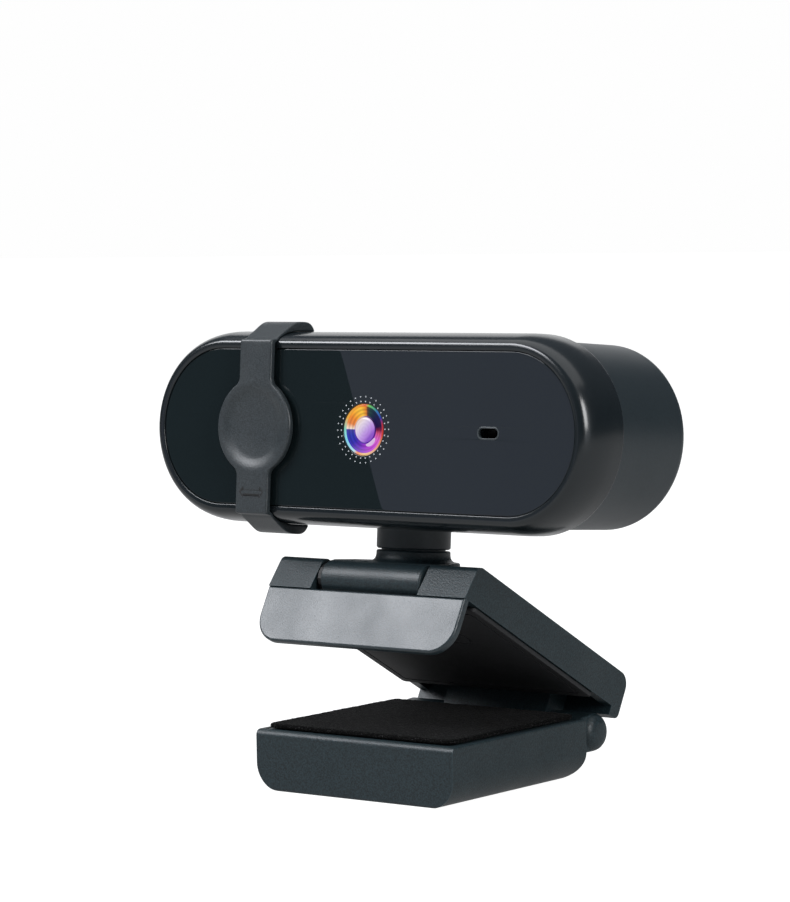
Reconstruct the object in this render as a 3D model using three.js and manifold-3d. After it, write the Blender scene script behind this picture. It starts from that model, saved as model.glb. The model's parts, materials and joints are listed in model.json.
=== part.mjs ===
// A clip-on webcam: a wide rounded camera head with a sliding privacy cover, on a swivel neck and a
// tilting knuckle, carried by a folding clip that hooks over the top of a monitor or stands on a desk.
// Millimetres, +Z up, the lens looks towards -Y, and the base rests on Z = 0.
import * as THREE from 'three';
import { mergeVertices } from 'three/addons/utils/BufferGeometryUtils.js';
import Module from 'manifold-3d';

const wasm = await Module();
wasm.setup();

// ---------------------------------------------------------------- driving dimensions

// Shared
const gap = 0.3;                 // clearance between two assembled pieces
const runGap = 0.4;              // clearance beside a piece that turns or slides
const wall = 1.8;                // moulded housing wall
const screwR = 1.0;              // self-tapping screw shaft
const screwHeadR = 1.9;
const screwHeadH = 1.2;
const pilotR = screwR + gap;

// Base of the clip
const baseWidth = 43.9;
const baseLength = 40.1;
const baseHeight = 10.95;
const baseSideRound = 5.0;       // lower left and right edges
const baseRearRound = 4.5;       // lower rear edge
const lidThick = 1.6;
const lidRim = 1.1;              // wall left around the lid
const padThick = 0.9;
const padInset = 1.0;            // pad edge from the base's outside
const padRound = 1.6;
const baseScrewX = 14.0;
const baseScrewFront = 7.0;
const baseScrewBack = 33.0;
const bossR = 2.9;
const socketBoreR = 3.2;         // quarter inch tripod thread
const socketOuterR = 5.4;
const socketDepth = 6.6;

// Clip hinge
const hingeR = 3.45;
const hingeClear = 0.55;         // barrel to the base's rear face
const hingeY = baseLength + hingeClear + hingeR;
const hingeZ = 7.9;
const hingeInner = 12.0;         // inner face of the base's two hinge ears
const hingeOuter = 21.0;         // outer face of the ears
const hingeEnd = 22.2;           // outer face of the hinge barrel
const lugHalf = hingeInner - runGap;
const hingePinR = 1.2;

// Arm and flap of the clip, seen from the hinge axis
const armOpen = 28.6;            // degrees above the closed position
const armWidth = 43.9;
const armTop = 12.6;
const armBottom = 5.9;
const armWall = 2.0;
const armRear = 4.4;
const armRearWall = 2.9;
const armRearBottom = hingeR + 0.65;
const armRearRound = 2.5;
const armFrontWall = 1.8;
const liningThick = 1.1;
const liningStop = 4.2;          // lining ends this far ahead of the hinge axis
const liningSink = 0.6;          // arm screws' heads sink this far into the lining
const armScrewX = 15.6;
const armScrewSet = 14.7;        // front screws behind the tilt axis
const armScrewBack = 10.0;
const armPadThick = 0.8;
const flapThick = 1.6;
const flapDrop = 4.5;            // flap's free edge below the hinge axis
const flapRound = 5.0;
const flapPadThick = 0.7;
const creaseDeep = 0.2;

// Tilt knuckle at the front of the arm
const tiltReach = 45.2;          // hinge axis to tilt axis, along the arm
const tiltRise = 9.3;            // and across it
const tiltR = 3.3;
const tiltPinR = 1.1;
const notchLeft = 12.4;
const notchRight = 11.5;
const knuckleLeft = 11.05;
const knuckleRight = 11.1;
const washerThick = 0.7;
const washerR = 2.7;
const tongueBottom = 0.2;
const tongueTop = 3.4;
const pocketPlay = 0.9;          // room around the tongue's round end
const pocketFloor = 9.2;
const pocketSkin = 1.5;
const tiltRest = -4.7;           // degrees from level, the lens looks up

// Swivel neck
const neckR = 6.62;
const neckStand = 0.18;          // neck behind the bezel's seam
const neckX = 0.25;
const flangeR = neckR + 1.38;
const tongueR = flangeR + 0.4;   // round end of the tongue, about the swivel axis
const panLine = 5.4;             // joint between the knuckle and the head's neck
const panScrewR = 1.5;
const panHeadR = 3.0;
const panHeadH = 1.3;
const panRest = -1.64;           // degrees
const headSide = 0.7;            // the glass's middle is this far to the right of the clip's

// Camera head, measured from the middle of the glass's front face
const headForward = 7.3;         // glass ahead of the tilt axis
const headUp = 26.6;             // glass middle above the tilt axis
const headLength = 100.0;
const headHeight = 34.6;
const glassHalf = 13.85;         // half height of the glass
const glassThick = 1.2;
const lipProud = 0.3;
const lipWide = 0.6;
const bezelRound = 7.2;          // depth of the bezel's rounded front
const seamY = 9.5;
const webThick = 1.3;
const housingStep = 1.1;         // the rear housing is this much smaller all round
const neckBack = seamY + neckStand + neckR - headForward;   // swivel axis behind the tilt axis
const housingBack = 30.1;
const housingRound = 2.5;
const tongueIn = 1.9;            // housing's spigot inside the bezel
const caseScrewX = 38.0;
const caseScrewZ = 8.6;
const caseScrewSeat = 14.0;      // how deep the case screws' heads sit
const columnR = 3.2;

// Lens
const lensX = 0.6;
const lensR = 4.5;
const lensDome = 0.5;
const barrelR = lensR + 1.1;
const barrelEnd = 11.0;
const holderHalf = barrelR + 1.4;
const boardY = 17.0;
const boardThick = 1.2;
const boardHalfLength = 31.0;
const boardHalfHeight = 11.6;
const boardScrewX = 27.0;
const boardScrewZ = 7.8;

// Microphone
const micX = 28.3;
const micSlotLong = 4.5;
const micSlotHigh = 2.0;
const micR = 2.0;

// Cable gland
const glandX = 0.0;
const glandZ = -9.0;
const glandR = 3.1;
const glandBore = 1.9;
const glandOut = 1.4;

// Privacy cover
const coverX = -23.2;
const coverWidth = 7.5;
const coverThick = 1.2;
const coverClear = 0.6;          // back of the cover to the glass
const coverDiscR = 8.6;
const coverNeckZ = 7.7;          // where the disc runs into the strap
const dishR = 6.8;
const dishDeep = 0.6;
const hookSkin = 0.6;
const hookCrest = 1.45;          // hook's crest over the bezel
const hookBack = 9.2;
const hookLean = 2.6;            // how far back the crest sits: 1 puts it half way

const arcSteps = 16;             // facets on half a turn of an outline, or on a whole small bar
const fineSteps = 24;            // facets on a whole round that shows
const hiddenSteps = 8;           // facets on half a turn inside a housing
const smallSteps = 12;           // facets on a screw

// ---------------------------------------------------------------- solid helpers

const rad = THREE.MathUtils.degToRad;

/** Turns a closed three.js geometry into a manifold solid. */
function toSolid(geometry) {
  const bare = geometry.clone();
  bare.deleteAttribute('normal');
  bare.deleteAttribute('uv');
  const merged = mergeVertices(bare, 1e-5);
  const vertProperties = Float32Array.from(merged.attributes.position.array);
  const triVerts = Uint32Array.from(merged.index.array);
  return new wasm.Manifold(new wasm.Mesh({ numProp: 3, vertProperties, triVerts }));
}

/** Turns a manifold solid back into a three.js geometry with flat faces. */
function toGeometry(solid) {
  const mesh = solid.getMesh();
  const geometry = new THREE.BufferGeometry();
  geometry.setAttribute('position', new THREE.BufferAttribute(mesh.vertProperties, 3));
  geometry.setIndex(new THREE.BufferAttribute(mesh.triVerts, 1));
  geometry.computeVertexNormals();
  return geometry;
}

/** A box from its low and high corners. */
function box(x0, x1, y0, y1, z0, z1) {
  const geometry = new THREE.BoxGeometry(x1 - x0, y1 - y0, z1 - z0);
  geometry.translate((x0 + x1) / 2, (y0 + y1) / 2, (z0 + z1) / 2);
  return toSolid(geometry);
}

/** A round bar along X, between two x values, about a line at (y, z). */
function barX(radius, x0, x1, y, z, steps = arcSteps) {
  const geometry = new THREE.CylinderGeometry(radius, radius, x1 - x0, steps);
  geometry.rotateZ(Math.PI / 2);
  geometry.translate((x0 + x1) / 2, y, z);
  return toSolid(geometry);
}

/** A round bar along Y; endRadius makes it a cone. */
function barY(radius, y0, y1, x, z, steps = arcSteps, endRadius = radius) {
  const geometry = new THREE.CylinderGeometry(endRadius, radius, y1 - y0, steps);
  geometry.translate(x, (y0 + y1) / 2, z);
  return toSolid(geometry);
}

/** A round bar along Z; topRadius makes it a cone. */
function barZ(radius, z0, z1, x, y, steps = arcSteps, topRadius = radius) {
  const geometry = new THREE.CylinderGeometry(topRadius, radius, z1 - z0, steps);
  geometry.rotateX(Math.PI / 2);
  geometry.translate(x, y, (z0 + z1) / 2);
  return toSolid(geometry);
}

/** Extrudes a shape drawn in (y, z) along X. */
function extrudeX(shape, x0, x1, curveSegments = arcSteps) {
  const geometry = new THREE.ExtrudeGeometry(shape, { depth: x1 - x0, bevelEnabled: false, curveSegments });
  const turn = new THREE.Matrix4().makeBasis(
    new THREE.Vector3(0, 1, 0), new THREE.Vector3(0, 0, 1), new THREE.Vector3(1, 0, 0));
  geometry.applyMatrix4(turn);
  geometry.translate(x0, 0, 0);
  return toSolid(geometry);
}

/** Extrudes a shape drawn in (x, z) along Y, from y0 to y1, with an optional rounded edge at both ends. */
function extrudeY(shape, y0, y1, round = null, curveSegments = arcSteps) {
  const deep = round ? round.thickness : 0;
  const geometry = new THREE.ExtrudeGeometry(shape, {
    depth: y1 - y0 - 2 * deep,
    bevelEnabled: Boolean(round),
    bevelThickness: deep,
    bevelSize: round ? round.size : 0,
    bevelSegments: round ? round.segments : 0,
    curveSegments,
  });
  geometry.rotateX(Math.PI / 2);
  geometry.translate(0, y1 - deep, 0);
  return toSolid(geometry);
}

/** Extrudes a shape drawn in (x, y) along Z. */
function extrudeZ(shape, z0, z1, curveSegments = arcSteps) {
  const geometry = new THREE.ExtrudeGeometry(shape, { depth: z1 - z0, bevelEnabled: false, curveSegments });
  geometry.translate(0, 0, z0);
  return toSolid(geometry);
}

/** A long outline with half-round ends, centred on (cx, cy). */
function stadium(halfLength, halfHeight, cx = 0, cy = 0) {
  const straight = halfLength - halfHeight;
  const shape = new THREE.Shape();
  shape.moveTo(cx - straight, cy - halfHeight);
  shape.lineTo(cx + straight, cy - halfHeight);
  shape.absarc(cx + straight, cy, halfHeight, -Math.PI / 2, Math.PI / 2);
  shape.lineTo(cx - straight, cy + halfHeight);
  shape.absarc(cx - straight, cy, halfHeight, Math.PI / 2, 1.5 * Math.PI);
  return shape;
}

/** A rectangle with its own radius at each corner: low-left, low-right, high-right, high-left. */
function roundedRect(x0, x1, y0, y1, [r0, r1, r2, r3]) {
  const shape = new THREE.Shape();
  shape.moveTo(x0 + r0, y0);
  shape.lineTo(x1 - r1, y0);
  if (r1 > 0) shape.absarc(x1 - r1, y0 + r1, r1, -Math.PI / 2, 0);
  shape.lineTo(x1, y1 - r2);
  if (r2 > 0) shape.absarc(x1 - r2, y1 - r2, r2, 0, Math.PI / 2);
  shape.lineTo(x0 + r3, y1);
  if (r3 > 0) shape.absarc(x0 + r3, y1 - r3, r3, Math.PI / 2, Math.PI);
  shape.lineTo(x0, y0 + r0);
  if (r0 > 0) shape.absarc(x0 + r0, y0 + r0, r0, Math.PI, 1.5 * Math.PI);
  return shape;
}

/** Joins solids into one. */
const join = (...solids) => solids.reduce((whole, next) => whole.add(next));

/** Cuts every later solid from the first. */
const cut = (body, ...tools) => tools.reduce((left, tool) => left.subtract(tool), body);

// ---------------------------------------------------------------- finishes

const finishes = {
  clipGrey: { color: 0x3c4248, roughness: 0.55, metalness: 0.0 },
  headGloss: { color: 0x15181b, roughness: 0.18, metalness: 0.0 },
  headSatin: { color: 0x2a2e33, roughness: 0.45, metalness: 0.0 },
  coverGrey: { color: 0x4a5057, roughness: 0.55, metalness: 0.0 },
  glassBlack: { color: 0x1e2628, roughness: 0.08, metalness: 0.0 },
  lensGlass: { color: 0x3a4c66, roughness: 0.03, metalness: 0.0 },
  foamBlack: { color: 0x242424, roughness: 0.95, metalness: 0.0 },
  rubberBlack: { color: 0x1b1b1c, roughness: 0.8, metalness: 0.0 },
  innerBlack: { color: 0x101112, roughness: 0.6, metalness: 0.0 },
  steel: { color: 0xb4b8bc, roughness: 0.3, metalness: 1.0 },
  brass: { color: 0xb99a55, roughness: 0.35, metalness: 1.0 },
  boardGreen: { color: 0x1d5a35, roughness: 0.5, metalness: 0.0 },
  chipBlack: { color: 0x1a1a1c, roughness: 0.5, metalness: 0.0 },
  connectorWhite: { color: 0xe6e2d6, roughness: 0.5, metalness: 0.0 },
};

/** A named mesh with its own material, added to a group. */
function piece(group, name, solid, finish) {
  const mesh = new THREE.Mesh(toGeometry(solid), new THREE.MeshStandardMaterial(finishes[finish]));
  mesh.name = name;
  group.add(mesh);
}

/** A pan-head screw along +Z: its head's lower face is at z0 and its tip at z1. */
function screwUp(x, y, z0, z1, shaftR = screwR, headR = screwHeadR, headH = screwHeadH) {
  const slot = box(x - headR, x + headR, y - 0.25, y + 0.25, z0 - 1, z0 + 0.4);
  const head = barZ(headR, z0, z0 + headH, x, y, smallSteps);
  return cut(join(head, barZ(shaftR, z0 + headH - 0.1, z1, x, y, smallSteps)), slot);
}

/** A pan-head screw along Y, from the outer face of its head to its tip, whichever way that runs. */
function screwY(x, z, face, tip) {
  const way = Math.sign(tip - face);
  const bar = (radius, from, to) => barY(radius, Math.min(from, to), Math.max(from, to), x, z, smallSteps);
  const under = face + way * screwHeadH;
  const slotLow = Math.min(face - way, face + way * 0.4);
  const slot = box(x - screwHeadR, x + screwHeadR, slotLow, slotLow + 1.4, z - 0.25, z + 0.25);
  return cut(join(bar(screwHeadR, face, under), bar(screwR, under - way * 0.1, tip)), slot);
}

// ---------------------------------------------------------------- base of the clip

const baseHalf = baseWidth / 2;
const lidTop = baseHeight;
const lidBottom = lidTop - lidThick;
const baseFloor = 2.2;
const baseScrews = [-1, 1].flatMap((side) => [
  [side * baseScrewX, baseScrewFront],
  [side * baseScrewX, baseScrewBack],
]);
const socketY = baseLength / 2;

function baseShell() {
  const front = roundedRect(-baseHalf, baseHalf, 0, baseHeight, [baseSideRound, baseSideRound, 0, 0]);
  const side = roundedRect(0, baseLength, 0, baseHeight, [0, baseRearRound, 0, 0]);
  const block = extrudeY(front, 0, baseLength).intersect(extrudeX(side, -baseHalf, baseHalf));
  const wallIn = baseSideRound - 1.2;
  const inside = box(
    -baseHalf + wallIn, baseHalf - wallIn, wallIn, baseLength - wallIn, baseFloor, lidTop + 1);
  const recess = box(
    -baseHalf + lidRim, baseHalf - lidRim, lidRim, baseLength - lidRim, lidBottom - gap, lidTop + 1);
  const ear = new THREE.Shape();
  ear.moveTo(baseLength - 3, hingeZ - hingeR);
  ear.lineTo(hingeY, hingeZ - hingeR);
  ear.absarc(hingeY, hingeZ, hingeR, -Math.PI / 2, Math.PI / 2);
  ear.lineTo(baseLength - 0.9, lidTop);
  ear.lineTo(baseLength - 0.9, lidBottom - gap);
  ear.lineTo(baseLength - 3, lidBottom - gap);
  const span = (side, outer) => [hingeInner, outer].map((x) => side * x).sort((low, high) => low - high);
  const ears = [-1, 1].map((side) => join(
    extrudeX(ear, ...span(side, hingeOuter)), barX(hingeR, ...span(side, hingeEnd), hingeY, hingeZ)));
  const wells = baseScrews.map(([x, y]) => join(
    barZ(screwHeadR + gap, -1, screwHeadH + 0.6, x, y), barZ(pilotR, 0, baseFloor + 2, x, y)));
  const collars = baseScrews.map(([x, y]) => barZ(bossR, baseFloor - 0.5, baseFloor + 1.2, x, y));
  const shell = join(cut(block, inside, recess), ...ears, ...collars);
  return cut(
    shell,
    ...wells,
    barZ(socketOuterR + gap, -1, baseFloor + 1, 0, socketY, fineSteps),
    barX(hingePinR + gap, -hingeOuter + 1.2, hingeOuter - 1.2, hingeY, hingeZ));
}

function baseLid() {
  const edge = lidRim + gap;
  const plate = extrudeZ(
    roundedRect(-baseHalf + edge, baseHalf - edge, edge, baseLength - edge, [0.8, 0.8, 0.8, 0.8]),
    lidBottom, lidTop - 0.1, 6);
  const posts = baseScrews.map(([x, y]) => barZ(bossR, baseFloor + 1.2 + gap, lidBottom + 0.1, x, y));
  const pilots = baseScrews.map(([x, y]) => barZ(pilotR, 0, lidBottom - 0.4, x, y));
  return cut(join(plate, ...posts), ...pilots);
}

function basePad() {
  const low = lidTop - 0.1 + gap;
  const edge = padInset;
  const outline = roundedRect(
    -baseHalf + edge, baseHalf - edge, edge, baseLength - edge, [padRound, padRound, padRound, padRound]);
  return extrudeZ(outline, low, low + padThick, 6);
}

function tripodNut() {
  const flange = barZ(socketOuterR, 0.3, 1.6, 0, socketY, fineSteps);
  const body = barZ(socketOuterR - 0.8, 1.5, socketDepth + 1.2, 0, socketY, fineSteps);
  return cut(join(flange, body), barZ(socketBoreR, -1, socketDepth, 0, socketY, fineSteps));
}

// ---------------------------------------------------------------- arm of the clip
// The arm's own frame has its origin on the hinge axis: -Y runs along the arm to the flap.

const armHalf = armWidth / 2;
const flapFront = -(tiltReach + tiltR);
const flapBack = flapFront + flapThick;
const notchBack = -tiltReach + tiltR + runGap;
const pocketEnd = -tiltReach + neckBack + tongueR + pocketPlay;
const liningBottom = armBottom + gap;
const liningTop = liningBottom + liningThick;
const cavityTop = armTop - armWall;
const armScrews = [-1, 1].flatMap((side) => [
  [side * armScrewX, -tiltReach + armScrewSet],
  [side * armScrewX, -armScrewBack],
]);

function armCover() {
  const side = new THREE.Shape();
  side.moveTo(-tiltReach, armBottom);
  side.lineTo(armRear - armRearWall, armBottom);
  side.lineTo(armRear - armRearWall, armRearBottom);
  side.lineTo(armRear, armRearBottom);
  side.lineTo(armRear, armTop - armRearRound);
  side.absarc(armRear - armRearRound, armTop - armRearRound, armRearRound, 0, Math.PI / 2);
  side.lineTo(-tiltReach, armTop);
  const slab = extrudeX(side, -armHalf, armHalf, 6);

  const nose = barX(tiltR, -armHalf, armHalf, -tiltReach, tiltRise, fineSteps);
  const flap = extrudeY(
    roundedRect(-armHalf, armHalf, -flapDrop, tiltRise, [flapRound, flapRound, 0, 0]), flapFront, flapBack);
  const crease = box(
    -armHalf - 1, armHalf + 1, flapFront - 1, flapFront + creaseDeep, armBottom, armBottom + 0.3);
  const notch = box(-notchLeft, notchRight, flapFront - 1, notchBack, armBottom, armTop + 1);

  const cavity = box(
    -armHalf + armWall, armHalf - armWall, notchBack + armFrontWall, armRear - armRearWall,
    armBottom - 1, cavityTop);
  const pocketBlock = box(
    -notchLeft - pocketSkin, notchRight + pocketSkin, notchBack, pocketEnd + pocketSkin,
    pocketFloor - pocketSkin, armTop - 0.2);
  const pocket = box(-notchLeft, notchRight, notchBack - 1, pocketEnd, pocketFloor, armTop + 1);

  const web = box(-lugHalf, lugHalf, -hingeR, hingeR, 0, cavityTop + 0.2);
  const lug = join(barX(hingeR, -lugHalf, lugHalf, 0, 0, fineSteps), web);
  const posts = armScrews.map(([x, y]) => barZ(2.4, liningTop + gap, cavityTop + 0.2, x, y));
  const pilots = armScrews.map(([x, y]) => barZ(pilotR, liningTop - 1, armTop - 1.0, x, y, smallSteps));

  return cut(
    join(cut(join(slab, nose, flap), cavity), pocketBlock, lug, ...posts),
    notch, pocket, crease, ...pilots,
    barX(hingePinR + gap, -lugHalf - 1, lugHalf + 1, 0, 0),
    barX(tiltPinR + gap, -armHalf + 1.4, armHalf - 1.4, -tiltReach, tiltRise));
}

function armLining() {
  const edge = armWall + gap;
  const front = notchBack + armFrontWall + gap;
  const plate = box(-armHalf + edge, armHalf - edge, front, -liningStop, liningBottom, liningTop);
  const holes = armScrews.map(([x, y]) => barZ(pilotR, 0, armTop, x, y, smallSteps));
  const sinks = armScrews.map(([x, y]) => barZ(screwHeadR + gap, 0, liningBottom + liningSink, x, y));
  return cut(plate, ...holes, ...sinks);
}

function armPad() {
  const front = notchBack + armFrontWall + gap;
  const half = armHalf - armWall - gap;
  const outline = roundedRect(-half, half, front, -liningStop - gap, [0.8, 0.8, 0.8, 0.8]);
  const sheet = extrudeZ(outline, liningBottom - gap - armPadThick, liningBottom - gap, 6);
  const holes = armScrews.map(([x, y]) => barZ(screwHeadR + gap, 0, liningBottom, x, y));
  return cut(sheet, ...holes);
}

function flapPad() {
  const edge = 2.2;
  const outline = roundedRect(
    -armHalf + edge, armHalf - edge, -flapDrop + edge, armBottom - 1.5, [3.2, 3.2, 0.8, 0.8]);
  return extrudeY(outline, flapBack + gap, flapBack + gap + flapPadThick, null, 8);
}

// ---------------------------------------------------------------- knuckle
// Its own frame has its origin on the tilt axis, with Z along the swivel axis.

const panSeat = tongueTop - 1.2;

function knuckle() {
  const barrel = barX(tiltR, -knuckleLeft, knuckleRight, 0, 0, fineSteps);
  const plan = new THREE.Shape();
  plan.moveTo(-knuckleLeft, 0);
  plan.lineTo(knuckleRight, 0);
  plan.lineTo(knuckleRight, neckBack - 3);
  plan.lineTo(neckX + tongueR, neckBack);
  plan.absarc(neckX, neckBack, tongueR, 0, Math.PI);
  plan.lineTo(-knuckleLeft, neckBack - 3);
  const tongue = extrudeZ(plan, tongueBottom, tongueTop, fineSteps);
  const flange = barZ(flangeR, tongueTop - 0.2, panLine, neckX, neckBack, fineSteps, neckR);
  return cut(
    join(barrel, tongue, flange),
    barZ(panHeadR + gap, tongueBottom - 1, panSeat, neckX, neckBack),
    barZ(panScrewR + gap, 0, panLine + 1, neckX, neckBack),
    barX(tiltPinR + gap, -knuckleLeft - 1, knuckleRight + 1, 0, 0));
}

function panWasher() {
  const ring = barZ(panHeadR - 0.2, panSeat - gap - 0.3, panSeat - gap, neckX, neckBack);
  return cut(ring, barZ(panScrewR + gap, 0, tongueTop, neckX, neckBack));
}

function panScrew() {
  const headTop = panSeat - 2 * gap - 0.3;
  return screwUp(neckX, neckBack, headTop - panHeadH, panLine + 4.2, panScrewR, panHeadR, panHeadH);
}

function tiltWasher() {
  const middle = -(notchLeft + knuckleLeft) / 2;
  const ring = barX(washerR, middle - washerThick / 2, middle + washerThick / 2, 0, 0);
  return cut(ring, barX(tiltPinR + gap, middle - 2, middle + 2, 0, 0));
}

// ---------------------------------------------------------------- camera head
// Its own frame has its origin in the middle of the glass's front face, with Y towards the back.

const headHalf = headLength / 2;
const headHalfHigh = headHeight / 2;
const headWide = headHalf - headHalfHigh;      // half of the straight part, the same for every outline
const webFront = glassThick + gap;
const webBack = webFront + webThick;
const housingHalfHigh = headHalfHigh - housingStep;
const housingFront = seamY + gap;
const neckLow = panLine + gap - headUp;
const neckY = neckBack + headForward;
const caseScrews = [-1, 1].flatMap((side) => [
  [side * caseScrewX, -caseScrewZ],
  [side * caseScrewX, caseScrewZ],
]);
const boardScrews = [[-boardScrewX, boardScrewZ], [boardScrewX, -boardScrewZ]];

/** The head's outline at a given half height: the middles of its round ends never move. */
const headOutline = (halfHigh) => stadium(headWide + halfHigh, halfHigh);

function frontBezel() {
  const start = glassHalf + lipWide;
  const round = { thickness: bezelRound, size: headHalfHigh - start, segments: 6 };
  const rounded = extrudeY(headOutline(start), -lipProud, seamY + bezelRound + 1, round);
  const back = box(-headHalf - 1, headHalf + 1, seamY, seamY + 40, -headHalfHigh - 1, headHalfHigh + 1);
  const inside = extrudeY(headOutline(headHalfHigh - wall), webBack, seamY + 1, null, hiddenSteps);
  const window = extrudeY(headOutline(glassHalf), -lipProud - 1, webFront);
  const bosses = caseScrews.map(([x, z]) => barY(columnR - 0.6, webBack - 0.5, 8.0, x, z));
  const pilots = caseScrews.map(([x, z]) => barY(pilotR, webFront + 1, 9.0, x, z, smallSteps));
  const shell = join(cut(rounded, back, inside, window), ...bosses);
  return cut(
    shell, ...pilots,
    barY(barrelR + gap, -1, webBack + 1, lensX, 0, fineSteps),
    extrudeY(stadium(micSlotLong / 2, micSlotHigh / 2, micX, 0), -1, webBack + 1, null, 8));
}

function frontGlass() {
  const plate = extrudeY(headOutline(glassHalf - gap), 0, glassThick);
  return cut(
    plate,
    barY(lensR + 0.1, -1, glassThick + 1, lensX, 0, fineSteps),
    extrudeY(stadium(micSlotLong / 2, micSlotHigh / 2, micX, 0), -1, glassThick + 1, null, 8));
}

function rearHousing() {
  const round = { thickness: housingRound, size: housingRound, segments: 4 };
  const whole = extrudeY(
    headOutline(housingHalfHigh - housingRound), housingFront - housingRound - 1, housingBack, round);
  const ahead = box(-headHalf, headHalf, -5, housingFront, -headHalfHigh, headHalfHigh);
  const outer = cut(whole, ahead);
  const inside = extrudeY(headOutline(housingHalfHigh - wall), 0, housingBack - wall, null, hiddenSteps);
  const spigotHalf = headHalfHigh - wall - gap;
  const spigot = cut(
    extrudeY(headOutline(spigotHalf), seamY - tongueIn, housingFront + 1.2, null, hiddenSteps),
    extrudeY(headOutline(spigotHalf - 1.1), 0, housingFront + 2, null, hiddenSteps));
  const neckSide = neckX - headSide;
  const neck = barZ(neckR, neckLow, -housingHalfHigh + 3.2, neckSide, neckY, fineSteps);
  const roofHalf = neckR + 1;
  const neckRoof = box(-roofHalf, roofHalf, neckY - neckR, neckY + neckR, -housingHalfHigh + 2.2, 0);
  const columns = caseScrews.map(([x, z]) => barY(columnR, 8.0 + gap, housingBack - 0.5, x, z));
  const wells = caseScrews.map(([x, z]) => join(
    barY(screwHeadR + gap, caseScrewSeat, housingBack + 1, x, z), barY(pilotR, 5, 20, x, z, smallSteps)));
  const seats = boardScrews.map(([x, z]) => barY(2.6, boardY + boardThick + gap, housingBack - 0.5, x, z));
  const seatHoles = boardScrews.map(([x, z]) => barY(pilotR, 10, boardY + boardThick + 6, x, z, smallSteps));
  return cut(
    join(cut(outer, inside), spigot, cut(neck, neckRoof), ...columns, ...seats),
    ...wells, ...seatHoles,
    barZ(panScrewR + gap, neckLow - 1, neckLow + 4.6, neckSide, neckY),
    barY(glandR - 0.6 + gap, housingBack - 4, housingBack + 1, glandX, glandZ));
}

function lensBarrel() {
  const tube = join(
    barY(barrelR, 1.5, 6.4, lensX, 0, fineSteps), barY(barrelR - 0.7, 6.3, barrelEnd, lensX, 0, fineSteps));
  return cut(
    tube,
    barY(lensR + 0.3, 0, 3.4, lensX, 0, fineSteps),
    barY(2.4, 3.3, 7.5, lensX, 0),
    barY(3.4, 7.4, barrelEnd + 1, lensX, 0));
}

function lensElement(radius, y, thick, bulge) {
  const points = [new THREE.Vector2(0, -thick), new THREE.Vector2(radius, -thick)];
  const steps = 5;
  for (let i = 0; i <= steps; i += 1) {
    const t = i / steps;
    points.push(new THREE.Vector2(radius * Math.cos(t * Math.PI / 2), bulge * Math.sin(t * Math.PI / 2)));
  }
  points[points.length - 1].x = 0;
  const geometry = new THREE.LatheGeometry(points, fineSteps);
  geometry.rotateX(Math.PI);
  geometry.translate(lensX, y, 0);
  return toSolid(geometry);
}

function apertureRing() {
  return cut(barY(lensR, 2.55, 3.05, lensX, 0, fineSteps), barY(2.4, 2, 4, lensX, 0));
}

function lensHolder() {
  const block = box(
    lensX - holderHalf, lensX + holderHalf, barrelEnd + gap, boardY - gap, -holderHalf, holderHalf);
  const throat = barY(barrelR - 0.7, 0, barrelEnd + 1.5, lensX, 0);
  const chamber = box(lensX - 5, lensX + 5, barrelEnd + 2.9, boardY, -5, 5);
  return cut(block, throat, chamber, barY(3.6, barrelEnd, boardY, lensX, 0));
}

function mainBoard() {
  const plate = extrudeY(
    roundedRect(-boardHalfLength, boardHalfLength, -boardHalfHeight, boardHalfHeight, [1, 1, 1, 1]),
    boardY, boardY + boardThick, null, 4);
  const holes = boardScrews.map(([x, z]) => barY(pilotR, boardY - 1, boardY + 3, x, z, smallSteps));
  return cut(plate, ...holes);
}

function micBoot() {
  const body = barY(micR + 1.0, webBack + gap, webBack + 4.2, micX, 0);
  const seat = barY(micR + gap, webBack + 1.4, webBack + 5, micX, 0);
  return cut(body, seat, barY(0.8, 0, webBack + 3, micX, 0, smallSteps));
}

function cableGland() {
  const neck = glandR - 0.6;
  const body = join(
    barY(glandR, housingBack + gap, housingBack + glandOut, glandX, glandZ),
    barY(neck, housingBack - wall - 1, housingBack + gap + 0.1, glandX, glandZ),
    barY(glandR, housingBack - wall - 1.6, housingBack - wall - gap, glandX, glandZ));
  return cut(body, barY(glandBore, housingBack - 5, housingBack + 3, glandX, glandZ));
}

// ---------------------------------------------------------------- privacy cover

/** Points over the bezel's rounded edge, from its lip to the hook's tip, at a distance from its surface. */
function overBezel(distance) {
  const start = glassHalf + lipWide;
  const rise = headHalfHigh - start;
  const turns = 9;
  const points = [];
  for (let i = 1; i <= turns; i += 1) {
    const angle = (i / turns) * (Math.PI / 2);
    const out = new THREE.Vector2(-Math.cos(angle) / bezelRound, Math.sin(angle) / rise).normalize();
    const y = -lipProud + bezelRound * (1 - Math.cos(angle));
    points.push([y + distance(y) * out.x, start + rise * Math.sin(angle) + distance(y) * out.y]);
  }
  const flat = 3;
  for (let i = 1; i <= flat; i += 1) {
    const y = bezelRound - lipProud + (i / flat) * (hookBack - bezelRound + lipProud);
    points.push([y, headHalfHigh + distance(y)]);
  }
  return points;
}

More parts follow.
